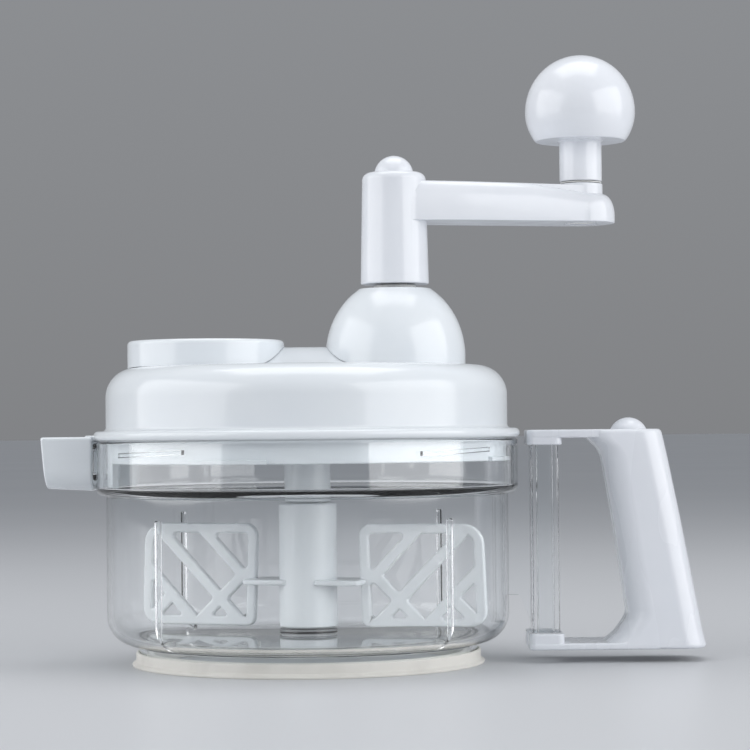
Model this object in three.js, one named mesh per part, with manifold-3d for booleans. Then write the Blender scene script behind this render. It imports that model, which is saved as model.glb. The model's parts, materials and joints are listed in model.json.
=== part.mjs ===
// Hand-crank food chopper: a clear bowl with a side handle, a domed lid with a feed chute, a geared
// crank on the lid, and a lattice mixing paddle that turns in the bowl. Millimetres, +Z up.
// The paddle turns about the bowl axis. The origin is the middle of the footprint, on the table.

import * as THREE from 'three';
import { mergeVertices } from 'three/addons/utils/BufferGeometryUtils.js';
import Module from 'manifold-3d';

const wasm = await Module();
wasm.setup();

// ---------------------------------------------------------------- driving dimensions

const GAP = 0.3;                 // clearance between pieces that touch on the real object
const BITE = 0.8;                // how far joined features sink into each other

// Bowl, measured from its own axis
const BOWL_R = 76.2;             // lower wall, outside
const BOWL_INNER_R = 74;
const BOWL_CORNER_R = 10.7;      // rounded bottom corner, outside
const FLOOR_Z = 8;               // underside of the floor
const FLOOR_TOP = 10.2;
const STEP_Z = 64.4;             // where the wall steps out to the collar
const COLLAR_R = 80;
const COLLAR_INNER_R = 77.6;
const COLLAR_LEDGE_Z = 66.8;
const COLLAR_FILLET = 2.6;
const RIM_Z = 84.4;
const FOOT = { inner: 61.5, outer: 64, bottom: 2.8 };
const RIB = { angles: [45, 135, 225, 315], innerR: 71.2, width: 2.1, top: 56, cornerR: 73.4, cornerZ: 16 };
const RIB_FOOT = { innerR: 66, bottom: 10, top: 12.6 };
const BOSS = { r: 11, top: 13.5, pinR: 3, pinTop: 23 };
const LUG = { innerR: 76, bottom: 78.6, height: 1.7, halfAngle: 13, rise: 1.2 };
const LUG_ANGLES = [44, 136, 224, 316];
const WINDOW = { halfY: 10, bottom: 72, top: 82 };
const WINDOW_FRAME = { x: -80.3, halfY: 13, bottom: 70, top: 84 };

// Base ring, a soft ring that grips the bowl's foot
const RING = { lipR: 66.7, r: 65.3, innerR: 58.5, height: 5.3, lipHeight: 0.9 };

// Post and web that carry the handle, moulded with the bowl
const POST = { x0: 84.6, x1: 95.2, halfY: 7, bottom: 5.7, top: 85.7, wall: 2 };
const WEB = { halfY: 1.25, top: 81.5, ledgeZ: 25, ledgeX: 80.2, footX: 86, footZ: 11.2 };

// Handle
const SLEEVE_WALL = { near: 1.2, far: 0.8 };
const SLEEVE = { x0: POST.x0 - GAP - SLEEVE_WALL.near, x1: POST.x1 + GAP + SLEEVE_WALL.far, halfY: 8.5 };
const HANDLE_TOP = 87.5;
const TOP_BAR = { bottom: 84.4, halfY: 11, x1: 122 };
const COLLAR_CAP = { bottom: 81.8, ceiling: 86 };
const BOTTOM_PLATE = { z0: 4.9, z1: 7.4, halfY: 15, x1: 150.3 };
const CUP_TOP = 11;
const HANDLE_BUTTON = { x: 122.3, z: 84.4 };
const GRIP_CAVITY_TOP = 65.4;
const GRIP_WALL = 2.6;
// Stations up the grip: height, near edge, far edge, half depth
const GRIP_STATIONS = [
  { z: 6.2, x0: 110.6, x1: 149.6, halfY: 14.6 },
  { z: 10.6, x0: 116.4, x1: 149, halfY: 14.3 },
  { z: 17.5, x0: 121, x1: 147.8, halfY: 14 },
  { z: 54, x0: 115.6, x1: 141.1, halfY: 13.2 },
  { z: 78.7, x0: 111.4, x1: 136.2, halfY: 12.7 },
  { z: 82.5, x0: 108.4, x1: 135.4, halfY: 12.5 },
  { z: 84.4, x0: 105.3, x1: 135, halfY: 12.4 },
  { z: HANDLE_TOP, x0: 105.3, x1: 134.2, halfY: 12 },
];

// Lid
const LID_R = 76.2;
const LID_INNER_R = 73.6;
const LID_WALL = 2.4;
const SKIRT = { r: 75.6, bottom: 76.2 };
const FLANGE = { r: 80.8, z0: RIM_Z + 0.4, z1: 88.4 };
const SHOULDER = { r: 65, z: 101, radius: 11.2 };
const PLATEAU_Z = 112.2;         // the flat of the lid's top
// The soft hump in its middle, long enough to run from the chute to the drive dome
const HUMP = { r: 26, top: 119.8, halfLength: 9 };
const LID_TAB = { outerR: 77.2, top: 77.9, sweep: 22, offset: 2 };
const INNER_TAB = { bottom: 67.2, halfAngle: 22 };
const LID_WINDOW = { halfY: 9.2, bottom: 70.5, top: 81 };
const SPOUT = { x0: -100, x1: -80.6, halfY: 13, z0: 66, z1: 85.6, round: 8.5, wall: 2 };
const STRAP = { x0: -83.6, x1: -78, halfY: 11, top: 87 };

// Feed chute and its cap
const CHUTE_X = -38.2;
const CHUTE = { r: 24, outerR: 26.2, bottom: 111, top: 119.9 };
const CAP = { r: 29.8, innerR: 27.6, top: 122.5, plate: 2.2, bottom: 108 };

// Gear train: the crank shaft drives a small pinion on the bowl axis
const MODULE = 1;
const DRIVE_TEETH = 48;
const PINION_TEETH = 20;
const DRIVE_X = (MODULE * (DRIVE_TEETH + PINION_TEETH)) / 2;
const BACKLASH = 0.36;
const GEAR = { z0: 98.6, z1: 104.6, hubR: 9, hubTop: 107.4 };

// Crank shaft, its dome and its bush
const DRIVE_DOME = { r: 26.6, rise: 29.8, z: 116, top: 141.7, wall: 2.4, bottom: 106, innerAngle: 62 };
const DOME_TUBE = { outerR: 9.5, innerR: 7.1, bottom: 108 };
const DOME_BOSS = { r: 3.4, top: 131, pilotTop: 128 };
const DOME_SCREW_RADIUS = 19;
const DOME_SCREW_ANGLES = [0, 120, 240];
const BUSH = { flangeR: 8, sleeveR: 6.8, bore: 5.35, bottom: 126, top: 143 };
const SHAFT = { r: 5, gearSquare: 8, crankSquare: 9, bottom: 98.6, shoulder: 108, top: 158 };

// Spindle on the bowl axis
const SPINDLE = { r: 8.75, plugSquare: 11, plugBottom: 48, bottom: 61, shoulder: 98, top: 104.4 };
const SPINDLE_SQUARE = 9;
const SPINDLE_BUSH = { bore: 9.05, r: 10.6, flangeR: 12, bottom: 92.5, seat: 96.3, top: 97.4 };

// Gear cover, a shallow tray under both gears
const TRAY = { driveR: 28, pinionR: 13.9, floor: 94, plate: 2, wall: 1.6, top: 109.4 };
const COVER_SCREWS = [[46, 30.2], [46, -30.2], [-2, 19.4], [-2, -19.4]];
const EAR_R = 5.2;
const LID_BOSS = { r: 3.8, pilotTop: 108 };

// Small fasteners
const SCREW = { r: 1.5, headR: 3, head: 1.5, pilotR: 1.8 };

// Crank
const CRANK_RADIUS = 74.5;
const CRANK_ANGLE = THREE.MathUtils.degToRad(12.8);
const HUB = { z0: 143.4, z1: 186, r: 13, topR: 11.7, fillet: 3 };
const ARM = { z0: 167.2, z1: 181.6, hubHalf: 12.6, endR: 13, bossR: 10, bossTop: 182.6 };
const CRANK_SOCKET_TOP = 166;
const CRANK_BUTTON_Z = 185;
const KNOB_X = DRIVE_X + CRANK_RADIUS * Math.cos(CRANK_ANGLE);
const KNOB_Y = CRANK_RADIUS * Math.sin(CRANK_ANGLE);

// Release buttons: the same sprung button in the crank and in the handle
const BUTTON = { r: 7.5, boreR: 7.8, stemR: 2.9, stemBoreR: 3.3, barbR: 3.7, travel: 3 };
const BUTTON_SKIRT = 7;          // from the dome's centre down to the button's underside
const BUTTON_FLOOR = 14;         // to the floor the spring stands on
const BUTTON_FLOOR_THICK = 5;
const BUTTON_TIP = 21.8;         // to the stem's tip
const SPRING = { r: 5.2, wireR: 0.6, turns: 3 };

// Knob
const KNOB = { r: 21.3, z: 210.5, rise: 22.1, rimZ: 199.2, rimR: 17.4, stemR: 8.2, stemZ: 183.5, boreR: 3.4 };
const KNOB_CAVITY = { r: 6.5, z0: 206, z1: 216 };
const PIN = { r: 3, headR: 6, headZ: 167.6, head: 2, snapR: 4.6, snapZ: 206.4, top: 210 };
const WASHER = { r: 8, bore: 3.4, z0: 182.9, z1: 183.2 };

// Mixing paddle
const PADDLE_HUB = { r: 11, z0: 13.9, z1: 60.6, pinBoreR: 3.4, pinBoreTop: 24, socketBottom: 47 };
const BLADE = { innerR: 21, outerR: 69, z0: 13.6, z1: 52.8, thick: 3, frame: 3.7, splay: 0.035 };
const BLADE_CORNERS = { innerTop: 5.3, outerTop: 7.6, outerBottom: 6.9, innerBottom: 3.4 };
const BLADE_ANGLES = [-17, 160];
const ARM_PLATE = { z0: 29.7, z1: 31.8, halfY: 10.4, endR: 23.3 };
// Lattice bars at 45 degrees: where each crosses the blade's lower edge, and its width
const RISING_BARS = [{ at: -13.9, width: 4.4 }, { at: 4.5, width: 4.7 }, { at: 23.8, width: 4.7 }];
const FALLING_BAR = { at: 25.1, width: 5 };
const SHORT_BAR = { at: 47, width: 5.4, length: 16.4 };

const FOOTPRINT_MIDDLE_X = (SPOUT.x0 + BOTTOM_PLATE.x1) / 2;

// ---------------------------------------------------------------- materials

const plastic = (color, roughness) => new THREE.MeshStandardMaterial({ color, roughness, metalness: 0 });
const steel = (color) => new THREE.MeshStandardMaterial({ color, roughness: 0.3, metalness: 1 });

const WHITE = () => plastic(0xe6ebf2, 0.25);
const IVORY = () => plastic(0xd9d7d1, 0.6);
const GEAR_NYLON = () => plastic(0xe4e0d2, 0.5);
const ACETAL = () => plastic(0xf2f2ee, 0.4);
const CLEAR = () => new THREE.MeshStandardMaterial({
  color: 0xe9eef0,
  roughness: 0.05,
  metalness: 0,
  transparent: true,
  opacity: 0.35,
});
const SPRING_STEEL = () => steel(0xb9bcc0);

// ---------------------------------------------------------------- solids

const ROUND = 40;
const MEDIUM_ROUND = 28;
const SMALL_ROUND = 16;
const SCREW_ROUND = 8;

function signedVolume(vertices, triangles) {
  const a = new THREE.Vector3();
  const b = new THREE.Vector3();
  const c = new THREE.Vector3();
  let volume = 0;
  for (let i = 0; i < triangles.length; i += 3) {
    a.fromArray(vertices, 3 * triangles[i]);
    b.fromArray(vertices, 3 * triangles[i + 1]);
    c.fromArray(vertices, 3 * triangles[i + 2]);
    volume += a.dot(b.cross(c)) / 6;
  }
  return volume;
}

// A closed three.js geometry as a solid with its faces pointing out.
function solidOf(source) {
  const bare = new THREE.BufferGeometry();
  bare.setAttribute('position', source.getAttribute('position'));
  bare.setIndex(source.getIndex());
  const merged = mergeVertices(bare, 1e-4);
  const index = merged.getIndex().array;
  const triangles = [];
  for (let i = 0; i < index.length; i += 3) {
    const [p, q, r] = [index[i], index[i + 1], index[i + 2]];
    if (p !== q && q !== r && r !== p) triangles.push(p, q, r);
  }
  const vertices = Float32Array.from(merged.getAttribute('position').array);
  if (signedVolume(vertices, triangles) < 0) {
    for (let i = 0; i < triangles.length; i += 3) {
      [triangles[i], triangles[i + 1]] = [triangles[i + 1], triangles[i]];
    }
  }
  const mesh = new wasm.Mesh({
    numProp: 3,
    vertProperties: vertices,
    triVerts: Uint32Array.from(triangles),
  });
  return new wasm.Manifold(mesh);
}

function geometryOf(solid) {
  const mesh = solid.getMesh();
  const geometry = new THREE.BufferGeometry();
  geometry.setAttribute('position', new THREE.BufferAttribute(Float32Array.from(mesh.vertProperties), 3));
  geometry.setIndex(new THREE.BufferAttribute(Uint32Array.from(mesh.triVerts), 1));
  geometry.computeVertexNormals();
  return geometry;
}

const join = (...solids) => solids.reduce((sum, solid) => sum.add(solid));
const cut = (body, ...tools) => tools.reduce((rest, tool) => rest.subtract(tool), body);

function box(x0, x1, y0, y1, z0, z1) {
  const geometry = new THREE.BoxGeometry(x1 - x0, y1 - y0, z1 - z0);
  return solidOf(geometry.translate((x0 + x1) / 2, (y0 + y1) / 2, (z0 + z1) / 2));
}

// A post of square section, standing at (x, y).
function squarePost(side, z0, z1, x = 0, y = 0) {
  return box(x - side / 2, x + side / 2, y - side / 2, y + side / 2, z0, z1);
}

function cylinder(r, z0, z1, x = 0, y = 0, segments = SMALL_ROUND) {
  const geometry = new THREE.CylinderGeometry(r, r, z1 - z0, segments);
  return solidOf(geometry.rotateX(Math.PI / 2).translate(x, y, (z0 + z1) / 2));
}

// A turned solid: the profile is a list of [radius, height] points.
function turned(profile, x = 0, y = 0, segments = ROUND) {
  const points = profile.map(([r, z]) => new THREE.Vector2(r, z));
  const geometry = new THREE.LatheGeometry(points, segments);
  return solidOf(geometry.rotateX(Math.PI / 2).translate(x, y, 0));
}

// A turned ring, whose profile doesn't touch the axis and closes on itself.
const turnedRing = (profile, x, y, segments) => turned([...profile, profile[0]], x, y, segments);

function tube(innerR, outerR, z0, z1, x = 0, y = 0, segments = SMALL_ROUND) {
  const profile = [[innerR, z0], [outerR, z0], [outerR, z1], [innerR, z1]];
  return turnedRing(profile, x, y, segments);
}

// Points along an arc of a profile, angles in degrees.
function arc(cx, cz, radius, from, to, steps) {
  const points = [];
  for (let i = 0; i <= steps; i++) {
    const angle = THREE.MathUtils.degToRad(from + ((to - from) * i) / steps);
    points.push([cx + radius * Math.cos(angle), cz + radius * Math.sin(angle)]);
  }
  return points;
}

function prism(shape, z0, z1, curveSegments = 12) {
  const geometry = new THREE.ExtrudeGeometry(shape, {
    depth: z1 - z0,
    bevelEnabled: false,
    curveSegments,
  });
  return solidOf(geometry.translate(0, 0, z0));
}

// A prism lying along X: the shape's x and y become Y and Z.
function prismAlongX(shape, x0, x1, curveSegments = 4) {
  return prism(shape, 0, x1 - x0, curveSegments).rotate([90, 0, 90]).translate([x0, 0, 0]);
}

// A flat plate that stands along the XZ plane: the shape's x and y become X and Z.
const prismAlongY = (shape, halfY) => prism(shape, -halfY, halfY).rotate([90, 0, 0]);

const outline = (points) => new THREE.Shape(points.map(([x, y]) => new THREE.Vector2(x, y)));

// A curved block between two radii and two angles; its top and bottom climb by rise along it.
function sector(innerR, outerR, z0, z1, fromDeg, toDeg, rise = 0) {
  const from = THREE.MathUtils.degToRad(fromDeg);
  const to = THREE.MathUtils.degToRad(toDeg);
  const shape = new THREE.Shape();
  shape.absarc(0, 0, outerR, from, to, false);
  shape.absarc(0, 0, innerR, to, from, true);
  const geometry = new THREE.ExtrudeGeometry(shape, { depth: z1 - z0, bevelEnabled: false, curveSegments: 6 });
  const position = geometry.getAttribute('position');
  for (let i = 0; i < position.count; i++) {
    const turn = Math.atan2(position.getY(i), position.getX(i)) - from;
    const along = THREE.MathUtils.euclideanModulo(turn + 0.01, 2 * Math.PI) - 0.01;
    position.setZ(i, position.getZ(i) + z0 + (rise * along) / (to - from));
  }
  return solidOf(geometry);
}

// The outline round two circles on the X axis and the straight tangents between them.
function beltShape(x1, r1, x2, r2) {
  const tangent = Math.acos((r1 - r2) / (x2 - x1));
  const shape = new THREE.Shape();
  shape.absarc(x2, 0, r2, -tangent, tangent, false);
  shape.absarc(x1, 0, r1, tangent, 2 * Math.PI - tangent, false);
  shape.closePath();
  return shape;
}

// A closed skin through rings of points, each ring a list of THREE.Vector3.
function loft(rings) {
  const count = rings[0].length;
  const vertices = rings.flat().flatMap((point) => point.toArray());
  const triangles = [];
  for (let k = 0; k + 1 < rings.length; k++) {
    for (let i = 0; i < count; i++) {
      const a = k * count + i;
      const b = k * count + ((i + 1) % count);
      triangles.push(a, b, b + count, a, b + count, a + count);
    }
  }
  const last = (rings.length - 1) * count;
  for (let i = 1; i + 1 < count; i++) {
    triangles.push(0, i + 1, i);
    triangles.push(last, last + i, last + i + 1);
  }
  const geometry = new THREE.BufferGeometry();
  geometry.setAttribute('position', new THREE.Float32BufferAttribute(vertices, 3));
  geometry.setIndex(triangles);
  return solidOf(geometry);
}

// A rounded-square ring between x0 and x1, lying flat at height z.
function roundedRing(x0, x1, halfY, z) {
  const squareness = 0.75;
  const points = [];
  for (let i = 0; i < SMALL_ROUND; i++) {
    const angle = (2 * Math.PI * i) / SMALL_ROUND;
    const c = Math.cos(angle);
    const s = Math.sin(angle);
    const x = Math.sign(c) * Math.abs(c) ** squareness;
    const y = Math.sign(s) * Math.abs(s) ** squareness;
    points.push(new THREE.Vector3((x0 + x1) / 2 + (x * (x1 - x0)) / 2, y * halfY, z));
  }
  return points;
}

// ---------------------------------------------------------------- bowl and base ring

function bowlShell() {
  const corner = BOWL_R - BOWL_CORNER_R;
  const cornerZ = FLOOR_Z + BOWL_CORNER_R;
  const fillet = COLLAR_R - COLLAR_FILLET;
  return turned([
    [0, FLOOR_Z],
    [FOOT.inner, FLOOR_Z],
    [FOOT.inner, FOOT.bottom],
    [FOOT.outer, FOOT.bottom],
    [FOOT.outer, FLOOR_Z],
    ...arc(corner, cornerZ, BOWL_CORNER_R, -90, 0, 5),
    [BOWL_R, STEP_Z],
    ...arc(fillet, STEP_Z + COLLAR_FILLET, COLLAR_FILLET, -90, 0, 3),
    [COLLAR_R, RIM_Z],
    [COLLAR_INNER_R, RIM_Z],
    [COLLAR_INNER_R, COLLAR_LEDGE_Z],
    [BOWL_INNER_R, COLLAR_LEDGE_Z],
    ...arc(corner, cornerZ, BOWL_INNER_R - corner, 0, -90, 5),
    [0, FLOOR_TOP],
  ]);
}

// Upright ribs on the inner wall, which follow the rounded corner down to a low foot on the floor.
function bowlRibs() {
  const half = RIB.width / 2;
  const rib = join(
    box(RIB.innerR, BOWL_INNER_R + BITE, -half, half, RIB.cornerZ, RIB.top),
    box(RIB.innerR, RIB.cornerR, -half, half, RIB_FOOT.top - BITE, RIB.cornerZ + BITE),
    box(RIB_FOOT.innerR, RIB.innerR + BITE / 2, -half, half, RIB_FOOT.bottom, RIB_FOOT.top),
  );
  return RIB.angles.map((angle) => rib.rotate([0, 0, angle]));
}

function bowlLugs() {
  return LUG_ANGLES.map((angle) => sector(
    LUG.innerR, COLLAR_INNER_R + BITE, LUG.bottom, LUG.bottom + LUG.height,
    angle - LUG.halfAngle, angle + LUG.halfAngle, LUG.rise,
  ));
}

// The hollow post that the handle slides onto, open at its foot, and the web that joins it to the bowl.
function bowlPost() {
  const post = cut(
    box(POST.x0, POST.x1, -POST.halfY, POST.halfY, POST.bottom, POST.top),
    box(POST.x0 + POST.wall, POST.x1 - POST.wall, -POST.halfY + POST.wall, POST.halfY - POST.wall,
      POST.bottom - 1, POST.top - POST.wall),
  );
  const wallX = BOWL_INNER_R + BITE;
  const lowerWeb = prismAlongY(outline([
    [wallX, WEB.ledgeZ],
    [WEB.ledgeX, WEB.ledgeZ],
    [WEB.footX, WEB.footZ],
    [WEB.footX, STEP_Z],
    [wallX, STEP_Z],
  ]), WEB.halfY);
  const upperWeb = box(COLLAR_INNER_R + BITE, WEB.footX, -WEB.halfY, WEB.halfY, STEP_Z - BITE, WEB.top);
  return join(post, lowerWeb, upperWeb);
}

function makeBowl() {
  const floorBoss = join(
    cylinder(BOSS.r, FLOOR_TOP - BITE, BOSS.top, 0, 0, MEDIUM_ROUND),
    cylinder(BOSS.pinR, FLOOR_TOP, BOSS.pinTop),
  );
  const frame = cut(
    box(WINDOW_FRAME.x, -COLLAR_INNER_R, -WINDOW_FRAME.halfY, WINDOW_FRAME.halfY,
      WINDOW_FRAME.bottom, WINDOW_FRAME.top),
    cylinder(COLLAR_INNER_R + BITE, WINDOW_FRAME.bottom - 1, WINDOW_FRAME.top + 1, 0, 0, ROUND),
  );
  const body = join(bowlShell(), floorBoss, frame, bowlPost(), ...bowlRibs(), ...bowlLugs());
  return cut(body, box(WINDOW_FRAME.x - 1, -LUG.innerR + 3, -WINDOW.halfY, WINDOW.halfY,
    WINDOW.bottom, WINDOW.top));
}

function makeBaseRing() {
  const grooveOuter = FOOT.outer + 0.4;
  const grooveInner = FOOT.inner - 0.4;
  const grooveFloor = FOOT.bottom - GAP;
  return turnedRing([
    [RING.innerR, 0],
    [RING.lipR, 0],
    [RING.lipR, RING.lipHeight],
    [RING.r, 2 * RING.lipHeight],
    [RING.r, RING.height],
    [grooveOuter, RING.height],
    [grooveOuter, grooveFloor],
    [grooveInner, grooveFloor],
    [grooveInner, RING.height],
    [RING.innerR, RING.height],
  ], 0, 0, ROUND);
}

// ---------------------------------------------------------------- sprung release buttons

// The pocket that a release button slides in, with its spring floor and its stem bore.
function buttonPocket(x, z) {
  const floor = z - BUTTON_FLOOR;
  return join(
    cylinder(BUTTON.boreR, floor, z + BUTTON.r, x, 0, SMALL_ROUND),
    cylinder(BUTTON.stemBoreR, floor - BUTTON_FLOOR_THICK - BITE, floor + BITE, x),
  );
}

function makeButton(x, z) {
  const tip = z - BUTTON_TIP;
  const barbTop = z - BUTTON_FLOOR - BUTTON_FLOOR_THICK - 0.4;
  return turned([
    [0, tip],
    [BUTTON.stemR, tip],
    [BUTTON.barbR, barbTop - 1],
    [BUTTON.barbR, barbTop],
    [BUTTON.stemR, barbTop],
    [BUTTON.stemR, z - BUTTON_SKIRT],
    [BUTTON.r, z - BUTTON_SKIRT],
    ...arc(0, z, BUTTON.r, 0, 80, 4),
    [0, z + BUTTON.r],
  ], x, 0, SMALL_ROUND);
}

class Helix extends THREE.Curve {
  constructor(x, z0, z1) {
    super();
    Object.assign(this, { x, z0, z1 });
  }

  getPoint(t, target = new THREE.Vector3()) {
    const angle = 2 * Math.PI * SPRING.turns * t;
    const z = THREE.MathUtils.lerp(this.z0, this.z1, t);
    return target.set(this.x + SPRING.r * Math.cos(angle), SPRING.r * Math.sin(angle), z);
  }
}

function makeSpring(x, z) {
  const clear = GAP + SPRING.wireR;
  const path = new Helix(x, z - BUTTON_FLOOR + clear, z - BUTTON_SKIRT - clear);
  const wire = new THREE.Shape().absarc(0, 0, SPRING.wireR, 0, 2 * Math.PI, false);
  return solidOf(new THREE.ExtrudeGeometry(wire, {
    extrudePath: path,
    steps: 8 * SPRING.turns,
    curveSegments: 3,
    bevelEnabled: false,
  }));
}

// ---------------------------------------------------------------- handle

function gripBody() {
  return loft(GRIP_STATIONS.map(({ z, x0, x1, halfY }) => roundedRing(x0, x1, halfY, z)));
}

// The grip's hollow, open at the underside, with its ceiling below the button's floor.
function gripCavity() {
  const inset = (x0, x1, halfY, z) => roundedRing(x0 + GRIP_WALL, x1 - GRIP_WALL, halfY - GRIP_WALL, z);
  const [foot, low, waist, middle] = GRIP_STATIONS;
  const rings = [
    inset(foot.x0 + 4, foot.x1, foot.halfY, BOTTOM_PLATE.z0 - 1),
    inset(low.x0, low.x1, low.halfY, low.z),
    inset(waist.x0, waist.x1, waist.halfY, waist.z),
    inset(middle.x0, middle.x1, middle.halfY, middle.z),
    inset(middle.x0 - 2, middle.x1 - 3, middle.halfY, GRIP_CAVITY_TOP),
  ];
  return loft(rings);
}

function bottomPlateShape() {
  const round = 13;
  const shape = new THREE.Shape();
  shape.moveTo(SLEEVE.x0, -BOTTOM_PLATE.halfY);
  shape.lineTo(BOTTOM_PLATE.x1 - round, -BOTTOM_PLATE.halfY);
  shape.bezierCurveTo(
    BOTTOM_PLATE.x1 - 3, -BOTTOM_PLATE.halfY, BOTTOM_PLATE.x1, -8, BOTTOM_PLATE.x1, 0,
  );
  shape.bezierCurveTo(
    BOTTOM_PLATE.x1, 8, BOTTOM_PLATE.x1 - 3, BOTTOM_PLATE.halfY, BOTTOM_PLATE.x1 - round, BOTTOM_PLATE.halfY,
  );
  shape.lineTo(SLEEVE.x0, BOTTOM_PLATE.halfY);
  shape.closePath();
  return shape;
}

function makeHandle() {
  const { x0, x1, halfY } = SLEEVE;
  const body = join(
    gripBody(),
    box(x0, TOP_BAR.x1, -TOP_BAR.halfY, TOP_BAR.halfY, TOP_BAR.bottom, HANDLE_TOP),
    box(x0, x1, -halfY, halfY, COLLAR_CAP.bottom, HANDLE_TOP - BITE),
    prism(bottomPlateShape(), BOTTOM_PLATE.z0, BOTTOM_PLATE.z1, 6),
    box(x0, x1, -halfY, halfY, BOTTOM_PLATE.z0, CUP_TOP),
  );
  const postY = POST.halfY + GAP;
  const slotY = WEB.halfY + 0.5;
  return cut(
    body,
    box(POST.x0 - GAP, POST.x1 + GAP, -postY, postY, COLLAR_CAP.bottom - 1, COLLAR_CAP.ceiling),
    box(POST.x0 - GAP, POST.x1 + GAP, -postY, postY, BOTTOM_PLATE.z0 - 1, CUP_TOP + 1),
    box(x0 - 1, POST.x0, -slotY, slotY, BOTTOM_PLATE.z0 - 1, CUP_TOP + 1),
    buttonPocket(HANDLE_BUTTON.x, HANDLE_BUTTON.z),
    gripCavity(),
  );
}

// ---------------------------------------------------------------- lid

// How far a place on the lid is from the hump's straight crest.
const fromCrest = (x, y) => Math.hypot(Math.max(Math.abs(x) - HUMP.halfLength, 0), y);

// The height of the lid's top at a distance from the crest: the hump falls away in a smooth wave.
function lidTopZ(distance) {
  const fall = Math.cos((Math.PI * Math.min(distance, HUMP.r)) / HUMP.r);
  return PLATEAU_Z + ((HUMP.top - PLATEAU_Z) * (1 + fall)) / 2;
}

// The hump at a depth below the lid's surface: a straight ridge with a turned end at each side.
function hump(depth) {
  const base = PLATEAU_Z - depth - LID_WALL / 2;
  const slope = [];
  const steps = 7;
  for (let i = 0; i <= steps; i++) {
    const distance = (HUMP.r * i) / steps;
    slope.push([distance, lidTopZ(distance) - depth]);
  }
  const end = turned([[0, base], [HUMP.r, base], ...[...slope].reverse()], MEDIUM_ROUND);
  const across = slope.slice(1).map(([distance, z]) => [-distance, z]);
  const ridge = outline([[-HUMP.r, base], ...across.reverse(), ...slope, [HUMP.r, base]]);
  return join(
    prismAlongX(ridge, -HUMP.halfLength, HUMP.halfLength),
    end.translate([-HUMP.halfLength, 0, 0]),
    end.translate([HUMP.halfLength, 0, 0]),
  );
}

function lidBody() {
  const edge = (FLANGE.z1 - FLANGE.z0) / 2;
  const innerRadius = SHOULDER.radius - LID_WALL;
  const flatLid = turned([
    [0, PLATEAU_Z - LID_WALL],
    ...arc(LID_INNER_R - innerRadius, SHOULDER.z, innerRadius, 90, 0, 4),
    [LID_INNER_R, SKIRT.bottom],
    [SKIRT.r, SKIRT.bottom],
    [SKIRT.r, FLANGE.z0],
    ...arc(FLANGE.r - edge, FLANGE.z0 + edge, edge, -90, 90, 4),
    [LID_R, FLANGE.z1],
    ...arc(SHOULDER.r, SHOULDER.z, SHOULDER.radius, 0, 90, 5),
    [0, PLATEAU_Z],
  ]);
  return cut(join(flatLid, hump(0)), hump(LID_WALL));
}

// Everything up to just above the lid's top surface, used to trim what sits on the lid.
function lidClearance() {
  const flat = turned([
    [0, FLANGE.z1],
    [SHOULDER.r + SHOULDER.radius, FLANGE.z1],
    ...arc(SHOULDER.r, SHOULDER.z + GAP, SHOULDER.radius, 0, 90, 5),
    [0, PLATEAU_Z + GAP],
  ]);
  return join(flat, hump(-GAP));
}

function spoutShape(inset) {
  const halfY = SPOUT.halfY - inset;
  const z0 = SPOUT.z0 + inset;
  const z1 = SPOUT.z1 - inset;
  const r = SPOUT.round - inset;
  const shape = new THREE.Shape();
  shape.moveTo(-halfY, z1);
  shape.lineTo(-halfY, z0 + r);
  shape.absarc(-halfY + r, z0 + r, r, Math.PI, 1.5 * Math.PI, false);
  shape.absarc(halfY - r, z0 + r, r, 1.5 * Math.PI, 2 * Math.PI, false);
  shape.lineTo(halfY, z1);
  shape.closePath();
  return shape;
}

function lidTabs() {
  return LUG_ANGLES.map((angle) => {
    const from = angle + LUG.halfAngle + LID_TAB.offset;
    return sector(SKIRT.r - 1, LID_TAB.outerR, SKIRT.bottom, LID_TAB.top, from, from + LID_TAB.sweep);
  });
}

function domeScrewPlaces() {
  return DOME_SCREW_ANGLES.map((degrees) => {
    const angle = THREE.MathUtils.degToRad(degrees);
    const x = DRIVE_X + DOME_SCREW_RADIUS * Math.cos(angle);
    const y = DOME_SCREW_RADIUS * Math.sin(angle);
    return { x, y };
  });
}

function makeLid() {
  const bosses = COVER_SCREWS.map(([x, y]) => (
    cylinder(LID_BOSS.r, TRAY.floor + TRAY.plate + 0.7, lidTopZ(fromCrest(x, y)) - 1.2, x, y)
  ));
  const body = join(
    lidBody(),
    cylinder(CHUTE.outerR, CHUTE.bottom, CHUTE.top, CHUTE_X, 0, MEDIUM_ROUND),
    sector(LID_INNER_R, SKIRT.r, INNER_TAB.bottom, SKIRT.bottom + BITE,
      180 - INNER_TAB.halfAngle, 180 + INNER_TAB.halfAngle),
    box(STRAP.x0, STRAP.x1, -STRAP.halfY, STRAP.halfY, FLANGE.z0, STRAP.top),
    ...lidTabs(),
    ...bosses,
  );
  const holes = [
    cylinder(CHUTE.r, CHUTE.bottom - 5, CHUTE.top + 5, CHUTE_X, 0, MEDIUM_ROUND),
    cylinder(DOME_TUBE.outerR + GAP, DOME_TUBE.bottom - 1, HUMP.top + 1, DRIVE_X, 0, MEDIUM_ROUND),
    box(-LID_TAB.outerR - 1, -LID_INNER_R + 3, -LID_WINDOW.halfY, LID_WINDOW.halfY,
      LID_WINDOW.bottom, LID_WINDOW.top),
    ...COVER_SCREWS.map(([x, y]) => cylinder(SCREW.pilotR, TRAY.floor, LID_BOSS.pilotTop, x, y, SCREW_ROUND)),
    ...domeScrewPlaces().map(({ x, y }) => (
      cylinder(SCREW.pilotR, LID_BOSS.pilotTop, HUMP.top, x, y, SCREW_ROUND)
    )),
  ];
  return cut(body, ...holes);
}

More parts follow.
